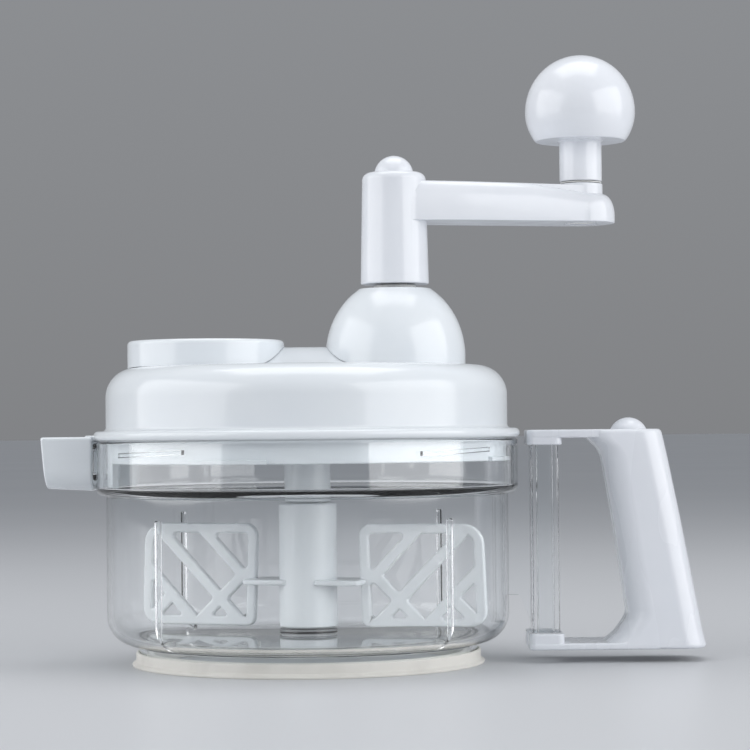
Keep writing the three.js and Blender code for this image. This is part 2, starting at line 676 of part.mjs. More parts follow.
// The pouring spout, a short open channel that clips under the lid's strap.
function makeSpout() {
  return cut(
    prismAlongX(spoutShape(0), SPOUT.x0, SPOUT.x1),
    prismAlongX(spoutShape(SPOUT.wall), SPOUT.x0 - 1, SPOUT.x1 + 1),
    box(STRAP.x0 - GAP, STRAP.x1, -STRAP.halfY - GAP, STRAP.halfY + GAP, FLANGE.z0 - GAP, STRAP.top),
  );
}

function makeCap() {
  const cap = cut(
    cylinder(CAP.r, CAP.bottom, CAP.top, CHUTE_X, 0, MEDIUM_ROUND),
    cylinder(CAP.innerR, CAP.bottom - 1, CAP.top - CAP.plate, CHUTE_X, 0, MEDIUM_ROUND),
  );
  return cut(cap, lidClearance());
}

// ---------------------------------------------------------------- drive

function makeDriveDome() {
  const { r, rise, z, top, wall, bottom } = DRIVE_DOME;
  const topAngle = THREE.MathUtils.radToDeg(Math.asin((top - z) / rise));
  const ellipse = (a, b, from, to) => arc(0, 0, 1, from, to, 5).map(([c, s]) => [a * c, z + b * s]);
  const shell = turned([
    [0, bottom],
    [r, bottom],
    ...ellipse(r, rise, 0, topAngle),
    [0, top],
  ], DRIVE_X, 0, MEDIUM_ROUND);
  const hollow = turned([
    [0, bottom - 1],
    [r - wall, bottom - 1],
    ...ellipse(r - wall, rise - wall, 0, DRIVE_DOME.innerAngle),
    [0, top - wall],
  ], DRIVE_X, 0, MEDIUM_ROUND);
  const bosses = domeScrewPlaces().map(({ x, y }) => cylinder(DOME_BOSS.r, bottom, DOME_BOSS.top, x, y));
  const onLid = cut(join(cut(shell, hollow), ...bosses), lidClearance());
  return cut(
    join(onLid, cylinder(DOME_TUBE.outerR, DOME_TUBE.bottom, top - wall / 2, DRIVE_X, 0, MEDIUM_ROUND)),
    cylinder(DOME_TUBE.innerR, DOME_TUBE.bottom - 1, top + 1, DRIVE_X, 0, MEDIUM_ROUND),
    ...domeScrewPlaces().map(({ x, y }) => (
      cylinder(SCREW.pilotR, bottom - 1, DOME_BOSS.pilotTop, x, y, SCREW_ROUND)
    )),
  );
}

// A pan-head screw standing on its head: the head's top is at headTop, and the thread points up.
function makeScrew(x, y, headTop, length, headR = SCREW.headR) {
  return turned([
    [0, headTop - SCREW.head],
    [headR * 0.75, headTop - SCREW.head],
    [headR, headTop - SCREW.head / 2],
    [headR, headTop],
    [SCREW.r, headTop],
    [SCREW.r, headTop + length - 1],
    [0, headTop + length],
  ], x, y, SCREW_ROUND);
}

function makeBush() {
  return cut(
    join(
      cylinder(BUSH.flangeR, DRIVE_DOME.top + GAP, BUSH.top, DRIVE_X, 0, MEDIUM_ROUND),
      cylinder(BUSH.sleeveR, BUSH.bottom, BUSH.top, DRIVE_X, 0, MEDIUM_ROUND),
    ),
    cylinder(BUSH.bore, BUSH.bottom - 1, BUSH.top + 1, DRIVE_X, 0, MEDIUM_ROUND),
  );
}

function makeDriveShaft() {
  const body = join(
    squarePost(SHAFT.gearSquare, SHAFT.bottom, SHAFT.shoulder + BITE, DRIVE_X),
    cylinder(SHAFT.r, SHAFT.shoulder, BUSH.top + GAP, DRIVE_X, 0, MEDIUM_ROUND),
    squarePost(SHAFT.crankSquare * 0.72, BUSH.top - BITE, BUSH.top + 1, DRIVE_X),
    squarePost(SHAFT.crankSquare, BUSH.top + GAP, SHAFT.top, DRIVE_X),
  );
  return cut(body, cylinder(SCREW.pilotR, SHAFT.bottom - 1, SHAFT.shoulder + 4, DRIVE_X, 0, SCREW_ROUND));
}

// A spur gear's outline, with straight-flanked teeth and the first tooth at the phase angle.
function gearShape(teeth, phase) {
  const pitchR = (MODULE * teeth) / 2;
  const tipR = pitchR + 0.9 * MODULE;
  const rootR = pitchR - 1.25 * MODULE;
  const halfPitch = (Math.PI * MODULE) / 4 - BACKLASH / 2;
  const flank = Math.tan(THREE.MathUtils.degToRad(20));
  const halfTip = halfPitch - 0.9 * MODULE * flank;
  const halfRoot = halfPitch + 1.25 * MODULE * flank;
  const corners = [[rootR, -halfRoot], [tipR, -halfTip], [tipR, halfTip], [rootR, halfRoot]];
  const points = [];
  for (let tooth = 0; tooth < teeth; tooth++) {
    const middle = phase + (2 * Math.PI * tooth) / teeth;
    for (const [radius, half] of corners) {
      const angle = middle + half / radius;
      points.push(new THREE.Vector2(radius * Math.cos(angle), radius * Math.sin(angle)));
    }
  }
  return new THREE.Shape(points);
}

function makeDriveGear() {
  const body = join(
    prism(gearShape(DRIVE_TEETH, 0), GEAR.z0, GEAR.z1).translate([DRIVE_X, 0, 0]),
    cylinder(GEAR.hubR, GEAR.z0, GEAR.hubTop, DRIVE_X, 0, MEDIUM_ROUND),
  );
  return cut(body, squarePost(SHAFT.gearSquare + 2 * GAP, GEAR.z0 - 1, GEAR.hubTop + 1, DRIVE_X));
}

function makePinion() {
  const halfTooth = Math.PI / PINION_TEETH;
  return cut(
    prism(gearShape(PINION_TEETH, halfTooth), GEAR.z0, GEAR.z1),
    squarePost(SPINDLE_SQUARE + 2 * GAP, GEAR.z0 - 1, GEAR.z1 + 1),
  );
}

function makeSpindle() {
  const body = join(
    squarePost(SPINDLE.plugSquare, SPINDLE.plugBottom, SPINDLE.bottom + BITE),
    cylinder(SPINDLE.r, SPINDLE.bottom, SPINDLE.shoulder, 0, 0, MEDIUM_ROUND),
    squarePost(SPINDLE_SQUARE, SPINDLE.shoulder - BITE, SPINDLE.top),
  );
  return cut(body, cylinder(SCREW.pilotR, SPINDLE.top - 12, SPINDLE.top + 1, 0, 0, SCREW_ROUND));
}

function makeSpindleBush() {
  return cut(
    join(
      cylinder(SPINDLE_BUSH.r, SPINDLE_BUSH.bottom, SPINDLE_BUSH.top, 0, 0, MEDIUM_ROUND),
      cylinder(SPINDLE_BUSH.flangeR, SPINDLE_BUSH.seat, SPINDLE_BUSH.top, 0, 0, MEDIUM_ROUND),
    ),
    cylinder(SPINDLE_BUSH.bore, SPINDLE_BUSH.bottom - 1, SPINDLE_BUSH.top + 1, 0, 0, MEDIUM_ROUND),
  );
}

function makeGearCover() {
  const around = (inset) => beltShape(0, TRAY.pinionR - inset, DRIVE_X, TRAY.driveR - inset);
  const floorTop = TRAY.floor + TRAY.plate;
  return cut(
    join(
      prism(around(0), TRAY.floor, TRAY.top, 12),
      ...COVER_SCREWS.map(([x, y]) => cylinder(EAR_R, TRAY.floor, floorTop + 0.4, x, y)),
    ),
    prism(around(TRAY.wall), floorTop, TRAY.top + 1, 12),
    cylinder(SPINDLE_BUSH.r + GAP, TRAY.floor - 1, floorTop + 1, 0, 0, MEDIUM_ROUND),
    ...COVER_SCREWS.map(([x, y]) => cylinder(SCREW.pilotR, TRAY.floor - 1, floorTop + 3, x, y, SCREW_ROUND)),
  );
}

// ---------------------------------------------------------------- crank and knob

function makeCrank() {
  const hub = turned([
    [0, HUB.z0],
    [HUB.r, HUB.z0],
    [HUB.r, ARM.z0 - 2],
    [HUB.topR, HUB.z1 - HUB.fillet],
    ...arc(HUB.topR - HUB.fillet, HUB.z1 - HUB.fillet, HUB.fillet, 0, 90, 3).slice(1),
    [0, HUB.z1],
  ], DRIVE_X, 0, MEDIUM_ROUND);
  const arm = prism(beltShape(0, ARM.hubHalf, CRANK_RADIUS, ARM.endR), ARM.z0, ARM.z1, 8)
    .rotate([0, 0, THREE.MathUtils.radToDeg(CRANK_ANGLE)])
    .translate([DRIVE_X, 0, 0]);
  return cut(
    join(hub, arm, cylinder(ARM.bossR, ARM.z1 - BITE, ARM.bossTop, KNOB_X, KNOB_Y, MEDIUM_ROUND)),
    squarePost(SHAFT.crankSquare + 2 * GAP, HUB.z0 - 1, CRANK_SOCKET_TOP, DRIVE_X),
    buttonPocket(DRIVE_X, CRANK_BUTTON_Z),
    cylinder(PIN.r + GAP, ARM.z0 - 1, ARM.bossTop + 1, KNOB_X, KNOB_Y),
    cylinder(PIN.headR + GAP, ARM.z0 - 1, PIN.headZ + PIN.head + GAP, KNOB_X, KNOB_Y),
  );
}

function makeKnob() {
  const outside = [
    [0, KNOB.stemZ],
    [KNOB.stemR, KNOB.stemZ],
    [KNOB.stemR, KNOB.rimZ],
    [KNOB.rimR, KNOB.rimZ],
    [KNOB.r * 0.92, KNOB.rimZ + 3.6],
    [KNOB.r * 0.985, KNOB.z - 3.4],
    ...arc(0, 0, 1, 0, 80, 6).map(([c, s]) => [KNOB.r * c, KNOB.z + KNOB.rise * s]),
    [0, KNOB.z + KNOB.rise],
  ];
  return cut(
    turned(outside, KNOB_X, KNOB_Y, MEDIUM_ROUND),
    cylinder(KNOB.boreR, KNOB.stemZ - 1, KNOB_CAVITY.z0 + 1, KNOB_X, KNOB_Y),
    cylinder(KNOB_CAVITY.r, KNOB_CAVITY.z0, KNOB_CAVITY.z1, KNOB_X, KNOB_Y),
  );
}

function makeKnobPin() {
  return turned([
    [0, PIN.headZ],
    [PIN.headR, PIN.headZ],
    [PIN.headR, PIN.headZ + PIN.head],
    [PIN.r, PIN.headZ + PIN.head],
    [PIN.r, PIN.snapZ],
    [PIN.snapR, PIN.snapZ],
    [PIN.r - 1, PIN.top],
    [0, PIN.top],
  ], KNOB_X, KNOB_Y, SMALL_ROUND);
}

const makeKnobWasher = () => tube(WASHER.bore, WASHER.r, WASHER.z0, WASHER.z1, KNOB_X, KNOB_Y, SMALL_ROUND);

// ---------------------------------------------------------------- mixing paddle

// The blade's outline in its own plane: x runs outwards from the inner edge, y runs up.
function bladeShape(inset) {
  const width = BLADE.outerR - BLADE.innerR;
  const height = BLADE.z1 - BLADE.z0;
  const corner = (r) => Math.max(r - inset, 1);
  const right = width - inset;
  const top = height - inset;
  const c = BLADE_CORNERS;
  const [bl, br, tr, tl] = [c.innerBottom, c.outerBottom, c.outerTop, c.innerTop].map(corner);
  const shape = new THREE.Shape();
  shape.absarc(inset + bl, inset + bl, bl, Math.PI, 1.5 * Math.PI, false);
  shape.absarc(right - br, inset + br, br, 1.5 * Math.PI, 2 * Math.PI, false);
  shape.absarc(right - tr, top - tr, tr, 0, 0.5 * Math.PI, false);
  shape.absarc(inset + tl, top - tl, tl, 0.5 * Math.PI, Math.PI, false);
  shape.closePath();
  return shape;
}

// A bar across the blade's plane, through (x, 0), climbing at the given angle.
function latticeBar(x, width, degrees, from = -60, to = 60) {
  return box(from, to, -width / 2, width / 2, 0, BLADE.thick).rotate([0, 0, degrees]).translate([x, 0, 0]);
}

function makeBlade(angle) {
  const plate = prism(bladeShape(0), 0, BLADE.thick, 5);
  const frame = cut(plate, prism(bladeShape(BLADE.frame), -1, BLADE.thick + 1, 4));
  const bars = join(
    ...RISING_BARS.map(({ at, width }) => latticeBar(at, width, 45)),
    latticeBar(FALLING_BAR.at, FALLING_BAR.width, 135),
    latticeBar(SHORT_BAR.at, SHORT_BAR.width, 135, 0, SHORT_BAR.length),
  );
  const middleZ = (BLADE.z1 - BLADE.z0) / 2;
  const splay = new THREE.Matrix4()
    .makeShear(0, 0, -BLADE.splay, 0, 0, 0)
    .setPosition(BLADE.splay * middleZ, 0, 0);
  return join(frame, bars.intersect(plate))
    .transform(splay.elements)
    .translate([0, 0, -BLADE.thick / 2])
    .rotate([90, 0, 0])
    .translate([BLADE.innerR, 0, BLADE.z0])
    .rotate([0, 0, angle]);
}

function makePaddle() {
  const hub = cylinder(PADDLE_HUB.r, PADDLE_HUB.z0, PADDLE_HUB.z1, 0, 0, MEDIUM_ROUND);
  const arms = BLADE_ANGLES.map((angle) => (
    box(0, ARM_PLATE.endR, -ARM_PLATE.halfY, ARM_PLATE.halfY, ARM_PLATE.z0, ARM_PLATE.z1)
      .rotate([0, 0, angle])
  ));
  return cut(
    join(hub, ...arms, ...BLADE_ANGLES.map(makeBlade)),
    squarePost(SPINDLE.plugSquare + 2 * GAP, PADDLE_HUB.socketBottom, PADDLE_HUB.z1 + 1),
    cylinder(PADDLE_HUB.pinBoreR, PADDLE_HUB.z0 - 1, PADDLE_HUB.pinBoreTop),
  );
}

// ---------------------------------------------------------------- assembly

const chopper = new THREE.Group();
chopper.position.x = -FOOTPRINT_MIDDLE_X;

function add(name, solid, material) {
  const mesh = new THREE.Mesh(geometryOf(solid), material);
  mesh.name = name;
  chopper.add(mesh);
}

add('bowl', makeBowl(), CLEAR());
add('base_ring', makeBaseRing(), IVORY());

add('handle', makeHandle(), WHITE());
add('handle_release_button', makeButton(HANDLE_BUTTON.x, HANDLE_BUTTON.z), WHITE());
add('handle_button_spring', makeSpring(HANDLE_BUTTON.x, HANDLE_BUTTON.z), SPRING_STEEL());

add('lid_shell', makeLid(), WHITE());
add('pour_spout', makeSpout(), WHITE());
add('chute_cap', makeCap(), WHITE());
add('drive_dome', makeDriveDome(), WHITE());
domeScrewPlaces().forEach(({ x, y }, i) => {
  const headTop = lidTopZ(fromCrest(x, y) + SCREW.headR) - LID_WALL - 0.4;
  add(`drive_dome_screw_${i + 1}`, makeScrew(x, y, headTop, 12), SPRING_STEEL());
});
add('shaft_bush', makeBush(), ACETAL());

add('gear_cover', makeGearCover(), WHITE());
COVER_SCREWS.forEach(([x, y], i) => {
  add(`gear_cover_screw_${i + 1}`, makeScrew(x, y, TRAY.floor - GAP, 13), SPRING_STEEL());
});
add('spindle_bush', makeSpindleBush(), ACETAL());

add('drive_shaft', makeDriveShaft(), ACETAL());
add('drive_gear', makeDriveGear(), GEAR_NYLON());
add('drive_gear_screw', makeScrew(DRIVE_X, 0, SHAFT.bottom - GAP, 12, 5.5), SPRING_STEEL());

add('output_spindle', makeSpindle(), WHITE());
add('pinion_gear', makePinion(), GEAR_NYLON());
const upsideDown = makeScrew(0, 0, 0, 10, 6).rotate([180, 0, 0]);
add('pinion_screw', upsideDown.translate([0, 0, GEAR.z1 + GAP]), SPRING_STEEL());

add('crank_arm', makeCrank(), WHITE());
add('crank_release_button', makeButton(DRIVE_X, CRANK_BUTTON_Z), WHITE());
add('crank_button_spring', makeSpring(DRIVE_X, CRANK_BUTTON_Z), SPRING_STEEL());
add('knob', makeKnob(), WHITE());
add('knob_pin', makeKnobPin(), ACETAL());
add('knob_washer', makeKnobWasher(), ACETAL());

add('mixing_paddle', makePaddle(), WHITE());

export default chopper;
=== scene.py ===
import json
import math

import bmesh
import bpy
from mathutils import Matrix, Vector


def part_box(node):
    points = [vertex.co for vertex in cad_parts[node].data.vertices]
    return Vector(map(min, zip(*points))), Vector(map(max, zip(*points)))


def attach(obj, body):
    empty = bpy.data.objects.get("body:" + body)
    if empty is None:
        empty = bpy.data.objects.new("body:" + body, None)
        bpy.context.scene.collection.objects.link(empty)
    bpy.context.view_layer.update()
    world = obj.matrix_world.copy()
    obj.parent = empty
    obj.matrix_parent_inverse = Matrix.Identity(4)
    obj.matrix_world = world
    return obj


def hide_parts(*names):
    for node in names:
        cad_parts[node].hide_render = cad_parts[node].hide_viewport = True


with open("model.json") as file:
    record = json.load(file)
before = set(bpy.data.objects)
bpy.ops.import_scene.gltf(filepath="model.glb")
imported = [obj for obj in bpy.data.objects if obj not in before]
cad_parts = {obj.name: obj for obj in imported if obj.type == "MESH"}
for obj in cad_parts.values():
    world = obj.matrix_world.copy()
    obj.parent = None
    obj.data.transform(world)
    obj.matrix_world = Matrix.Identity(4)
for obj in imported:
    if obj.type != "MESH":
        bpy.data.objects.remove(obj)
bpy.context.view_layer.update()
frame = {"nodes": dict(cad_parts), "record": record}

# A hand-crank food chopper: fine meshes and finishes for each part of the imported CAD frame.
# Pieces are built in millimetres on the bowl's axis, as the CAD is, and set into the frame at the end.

ring_low, ring_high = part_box("base_ring")
AXIS = Vector(((ring_low.x + ring_high.x) / 2, 0, 0))
TO_FRAME = Matrix.Translation(AXIS) @ Matrix.Scale(0.001, 4)
BODIES = frame["record"]["behaviour"]["bodies"]
BODY_OF = {node: body for body, nodes in BODIES.items() for node in nodes}


def span(node):
    """The lowest and highest corners of a CAD node, in millimetres on the bowl's axis."""
    return [(corner - AXIS) * 1000 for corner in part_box(node)]


def middle(node):
    low, high = span(node)
    return (low + high) / 2


# ---------------------------------------------------------------- measures, in millimetres

GAP = 0.3        # left between pieces that fit or move on one another
BITE = 0.8       # how far joined volumes run into each other

# Bowl
BOWL_R, BOWL_INNER_R = 76.2, 74
FLOOR_Z, FLOOR_TOP = 8, 10.2
STEP_Z, LEDGE_Z, RIM_Z = 64.4, 66.8, 84.4
COLLAR_R, COLLAR_INNER_R = 80, 77.6
FOOT_INNER, FOOT_OUTER, FOOT_Z = 61.5, 64, 2.8
RIB_ANGLES = (45, 135, 225, 315)
RIB_INNER_R, RIB_TOP, RIB_HALF = 72, 56, 0.8
LUG_ANGLES = (44, 136, 224, 316)
LUG_INNER_R, LUG_Z0, LUG_Z1, LUG_HALF_ANGLE, LUG_RISE = 76, 78.6, 80.3, 13, 1.2
WINDOW_X, WINDOW_FRAME, WINDOW = -80.3, (13, 70, 84), (10, 72, 82)     # half width, bottom, top
POST_X0, POST_X1, POST_HALF, POST_Z0, POST_Z1, POST_WALL = 84.6, 95.2, 7, 5.7, 85.7, 2
WEB_HALF, WEB_FOOT_X, WEB_TOP = 1.25, 86, 81.5

# Handle
SLEEVE_X0, SLEEVE_X1 = 83.1, 96.3
BAR_X1, BAR_HALF, BAR_Z0, HANDLE_TOP = 122, 11, 84.4, 87.5
COLLAR_CAP_HALF, COLLAR_CAP_Z0, COLLAR_CAP_CEILING = 10.8, 81.8, 86
PLATE_X1, PLATE_HALF, PLATE_Z0, PLATE_Z1 = 134, 14.6, 4.9, 7.4
CUP_HALF, CUP_Z0, CUP_TOP = 14.4, 5.2, 11
GRIP_WALL = 2.6
GRIP = [  # height, inner side, outer side, half width
    (4.9, 109.2, 150.5, 14.8),
    (10.6, 116.4, 149, 14.3),
    (17.5, 121, 147.8, 14),
    (54, 115.6, 141.1, 13.2),
    (78.7, 111.4, 136.2, 12.7),
    (82.5, 108.4, 135.4, 12.5),
    (84.4, 105.3, 135, 12.4),
    (87.5, 105.3, 134.2, 12),
]

# Lid
LID_R, LID_INNER_R, LID_WALL = 76.2, 73.6, 2.4
SKIRT_R, SKIRT_Z = 75.6, 76.2
FLANGE_R, FLANGE_Z0, FLANGE_Z1 = 80.8, 84.8, 88.4
SHOULDER_R, SHOULDER_Z, SHOULDER_RADIUS = 65, 101, 11.2
PLATEAU_Z = 112.2
HUMP_R, HUMP_TOP, HUMP_HALF = 26, 119.8, 9
TAB_R, TAB_TOP, TAB_START, TAB_END = 77.2, 77.9, 15, 37      # angles past each lug's middle
STRAP_X0, STRAP_X1, STRAP_HALF, STRAP_TOP = -83.6, -78, 11, 86.9
SPOUT_X0, SPOUT_X1, SPOUT_HALF, SPOUT_Z0, SPOUT_TOP, SPOUT_WALL = -100, -80.6, 13, 66, 86.4, 2
CHUTE_R, CHUTE_OUTER_R, CHUTE_TOP = 24, 26.2, 119.9
CAP_R, CAP_TOP, CAP_WALL = 29.8, 122.5, 2.2

# Drive
PILOT_R, PILOT_TOP = 1.8, 108
BOSS_R, BOSS_Z0 = 3.8, 96.7
TUBE_R, TUBE_Z0, TUBE_BORE_R = 9.5, 108, 7.1
DOME_R, DOME_RISE, DOME_BASE, DOME_TOP, DOME_WALL = 26.6, 29.8, 116, 141.7, 2.4
TRAY_Z0, TRAY_FLOOR, TRAY_TOP, TRAY_WALL = 94, 96, 109.4, 1.6

# Crank and knob
HUB_R, HUB_TOP_R, HUB_Z0, HUB_Z1 = 13, 12.1, 143.4, 186
ARM_HALF, ARM_Z0, ARM_Z1 = 12.9, 167.2, 181.6
ARM_SIDE_Z, SHOULDER_WIDTH = 170.3, 4.6     # where the arm's side starts to curve in, and how far
ARM_RISE = 1.1                              # how much higher the arm's top is at the hub
STEP_START, STEP_END = 50, 3.2              # where the shoulder starts to sink, and its depth at the end
PIN_R, PIN_HEAD_R = 3.3, 6.3
KNOB_R, KNOB_MIDDLE, KNOB_Z0, KNOB_UNDER = 21.3, 210.5, 183.5, 199.2

# Paddle
BLADE_ANGLES = (-17, 160)
BLADE_INNER_R, BLADE_OUTER_R, BLADE_Z0, BLADE_Z1, BLADE_HALF = 21, 69, 13.6, 52.8, 1.5
BLADE_FRAME, BLADE_SPLAY = 3.7, 0.035
RISING = ((-13.9, 4.0), (4.5, 4.2), (23.8, 4.2))     # where each bar meets the bottom edge, and its width
FALLING = (25.1, 4.4)
SHORT_FALLING = (47, 4.8)

BUTTON_R, STEM_R, STEM_BORE_R = 7.5, 2.9, 3.3


def dome_centre(node):
    """The middle of a button's dome."""
    return Vector((middle(node).x, 0, span(node)[1].z - BUTTON_R))


HANDLE_BUTTON = dome_centre("handle_release_button")
CRANK_BUTTON = dome_centre("crank_release_button")
DRIVE_X = middle("drive_gear").x
CHUTE_X = middle("chute_cap").x
KNOB_X, KNOB_Y = middle("knob").xy
CRANK_RADIUS = math.hypot(KNOB_X - DRIVE_X, KNOB_Y)
CRANK_ANGLE = math.atan2(KNOB_Y, KNOB_X - DRIVE_X)

# ---------------------------------------------------------------- outlines


def arc(cx, cy, radius, start, end, steps=12, height=None):
    """Points along an arc, angles in degrees; height makes it elliptical."""
    points = []
    for i in range(steps + 1):
        angle = math.radians(start + (end - start) * i / steps)
        points.append((cx + radius * math.cos(angle), cy + (height or radius) * math.sin(angle)))
    return points


def rounded(corners, closed=True, step=11):
    """An outline of (x, y) or (x, y, radius) corners, with each radius made an arc."""
    points = []
    for i, corner in enumerate(corners):
        here = Vector(corner[:2])
        inside = closed or 0 < i < len(corners) - 1
        if len(corner) < 3 or not inside:
            points.append(tuple(here))
            continue
        radius = corner[2]
        before = (Vector(corners[i - 1][:2]) - here).normalized()
        after = (Vector(corners[(i + 1) % len(corners)][:2]) - here).normalized()
        half = before.angle(after) / 2
        centre = here + (before + after).normalized() * radius / math.sin(half)
        start = here + before * radius / math.tan(half) - centre
        end = here + after * radius / math.tan(half) - centre
        sweep = math.degrees(math.atan2(start.x * end.y - start.y * end.x, start.dot(end)))
        first = math.degrees(math.atan2(start.y, start.x))
        points += arc(centre.x, centre.y, radius, first, first + sweep, max(2, round(abs(sweep) / step)))
    return points


def area(points):
    pairs = zip(points, points[1:] + points[:1])
    return sum(x0 * y1 - x1 * y0 for (x0, y0), (x1, y1) in pairs) / 2


def inset(points, depth):
    """A closed outline moved inwards by depth, or outwards if depth is negative."""
    if area(points) < 0:
        points = points[::-1]
    moved = []
    for i, point in enumerate(points):
        here = Vector(point)
        before = (here - Vector(points[i - 1])).normalized()
        after = (Vector(points[(i + 1) % len(points)]) - here).normalized()
        normal = Vector((-before.y - after.y, before.x + after.x))
        moved.append(tuple(here + normal * depth / (1 + before.dot(after))))
    return moved


def soften(points, radius, sharp=20):
    """Rounds only the sharp corners of a closed outline."""
    corners = []
    for i, point in enumerate(points):
        before = Vector(point) - Vector(points[i - 1])
        after = Vector(points[(i + 1) % len(points)]) - Vector(point)
        turn = math.degrees(before.angle(after))
        reach = radius * math.tan(math.radians(turn) / 2)
        room = 0.45 * min(before.length, after.length)
        if turn > sharp:
            corners.append((*point, radius * min(1, room / reach)))
        else:
            corners.append(point)
    return rounded(corners)


def clip(points, a, b, c):
    """The part of a convex outline where a*x + b*y is more than c."""
    kept = []
    for i, (x1, y1) in enumerate(points):
        x0, y0 = points[i - 1]
        d0 = a * x0 + b * y0 - c
        d1 = a * x1 + b * y1 - c
        if d0 * d1 < 0:
            t = d0 / (d0 - d1)
            kept.append((x0 + t * (x1 - x0), y0 + t * (y1 - y0)))
        if d1 >= 0:
            kept.append((x1, y1))
    return kept


def box_outline(x0, x1, y0, y1, radius):
    return rounded([(x0, y0, radius), (x1, y0, radius), (x1, y1, radius), (x0, y1, radius)])


def circle(x, y, radius, steps=48):
    return arc(x, y, radius, 0, 360 - 360 / steps, steps - 1)


# ---------------------------------------------------------------- solids


def solid(points, faces):
    """A closed working mesh with its faces pointing out."""
    mesh = bpy.data.meshes.new("work")
    mesh.from_pydata(points, [], faces)
    tidy = bmesh.new()
    tidy.from_mesh(mesh)
    bmesh.ops.recalc_face_normals(tidy, faces=tidy.faces)
    if tidy.calc_volume(signed=True) < 0:
        bmesh.ops.reverse_faces(tidy, faces=tidy.faces)
    tidy.to_mesh(mesh)
    tidy.free()
    obj = bpy.data.objects.new("work", mesh)
    bpy.context.scene.collection.objects.link(obj)
    return obj


def revolve(profile, x=0, y=0, steps=96):
    """A turned solid of [radius, height] points, from axis to axis or as a closed ring."""
    points, rows, faces = [], [], []
    for radius, z in profile:
        if radius < 1e-6:
            rows.append([len(points)] * steps)
            points.append((x, y, z))
        else:
            rows.append(list(range(len(points), len(points) + steps)))
            points += [(px, py, z) for px, py in circle(x, y, radius, steps)]
    if profile[0][0] > 1e-6:
        rows.append(rows[0])
    for low, high in zip(rows, rows[1:]):
        for i in range(steps):
            corners = [low[i], low[i - 1], high[i - 1], high[i]]
            faces.append(list(dict.fromkeys(corners)))
    return solid(points, [face for face in faces if len(face) > 2])


def loft(rings):
    """A closed skin through rings of points that have the same count."""
    count = len(rings[0])
    points = [point for ring in rings for point in ring]
    faces = [list(range(count)), list(range(len(points) - count, len(points)))]
    for k in range(0, len(points) - count, count):
        for i in range(count):
            j = (i + 1) % count
            faces.append([k + i, k + j, k + j + count, k + i + count])
    return solid(points, faces)


def at_height(outline, z):
    return [(x, y, z) for x, y in outline]


def plate(outline, z0, z1, edge=0.0, steps=3):
    """An upright prism with its top and bottom edges rounded; a negative edge flares them."""
    size = abs(edge)
    rings = []
    for i in range(steps + 1 if size else 1):
        angle = math.pi / 2 * i / steps
        depth = size * (1 - math.sin(angle)) * (1 if edge >= 0 else -1)
        rings.append((depth, size * (1 - math.cos(angle))))
    lower = [at_height(inset(outline, depth), z0 + rise) for depth, rise in rings]
    upper = [at_height(inset(outline, depth), z1 - rise) for depth, rise in reversed(rings)]
    return loft(lower + upper)


def turned_by(obj, matrix):
    obj.data.transform(matrix)
    return obj


STAND_ALONG_Y = Matrix(((1, 0, 0, 0), (0, 0, -1, 0), (0, 1, 0, 0), (0, 0, 0, 1)))
LIE_ALONG_X = Matrix(((0, 0, 1, 0), (1, 0, 0, 0), (0, 1, 0, 0), (0, 0, 0, 1)))


def fin(outline, half, edge=0.0):
    """A plate that stands in the XZ plane, half a thickness either side of it."""
    return turned_by(plate(outline, -half, half, edge), STAND_ALONG_Y)


def beam(outline, x0, x1, edge=0.0):
    """A bar along X with a YZ outline."""
    return turned_by(plate(outline, x0, x1, edge), LIE_ALONG_X)


def block(x0, x1, half, z0, z1, corner=1.0, edge=0.5):
    return plate(box_outline(x0, x1, -half, half, corner), z0, z1, edge)


def rod(radius, z0, z1, x=0, y=0, edge=0.0, steps=48):
    return plate(circle(x, y, radius, steps), z0, z1, edge)


def square_rod(side, z0, z1, x=0, corner=0.6, edge=0.4):
    return block(x - side / 2, x + side / 2, side / 2, z0, z1, corner, edge)


def sector(inner, outer, z0, z1, start, end, rise=0.0, edge=0.4, steps=28):
    """A curved bar between two radii and two angles, whose height climbs by rise."""
    section = box_outline(inner, outer, z0, z1, edge)
    rings = []
    for i in range(steps + 1):
        turn = math.radians(start + (end - start) * i / steps)
        rings.append([
            (r * math.cos(turn), r * math.sin(turn), z + rise * i / steps) for r, z in section
        ])
    return loft(rings)


def combine(base, operation, *tools, solver="MANIFOLD"):
    """Joins tools to base, or cuts them from it, and takes the tools away."""
    for tool in tools:
        step = base.modifiers.new("combine", "BOOLEAN")
        step.operation = operation
        step.solver = solver
        step.object = tool
    result = base.evaluated_get(bpy.context.evaluated_depsgraph_get())
    mesh = bpy.data.meshes.new_from_object(result)
    base.modifiers.clear()
    base.data = mesh
    for tool in tools:
        bpy.data.objects.remove(tool)
    return base


def join(base, *tools, **options):
    return combine(base, "UNION", *tools, **options)


def cut(base, *tools, **options):
    return combine(base, "DIFFERENCE", *tools, **options)


# ---------------------------------------------------------------- materials


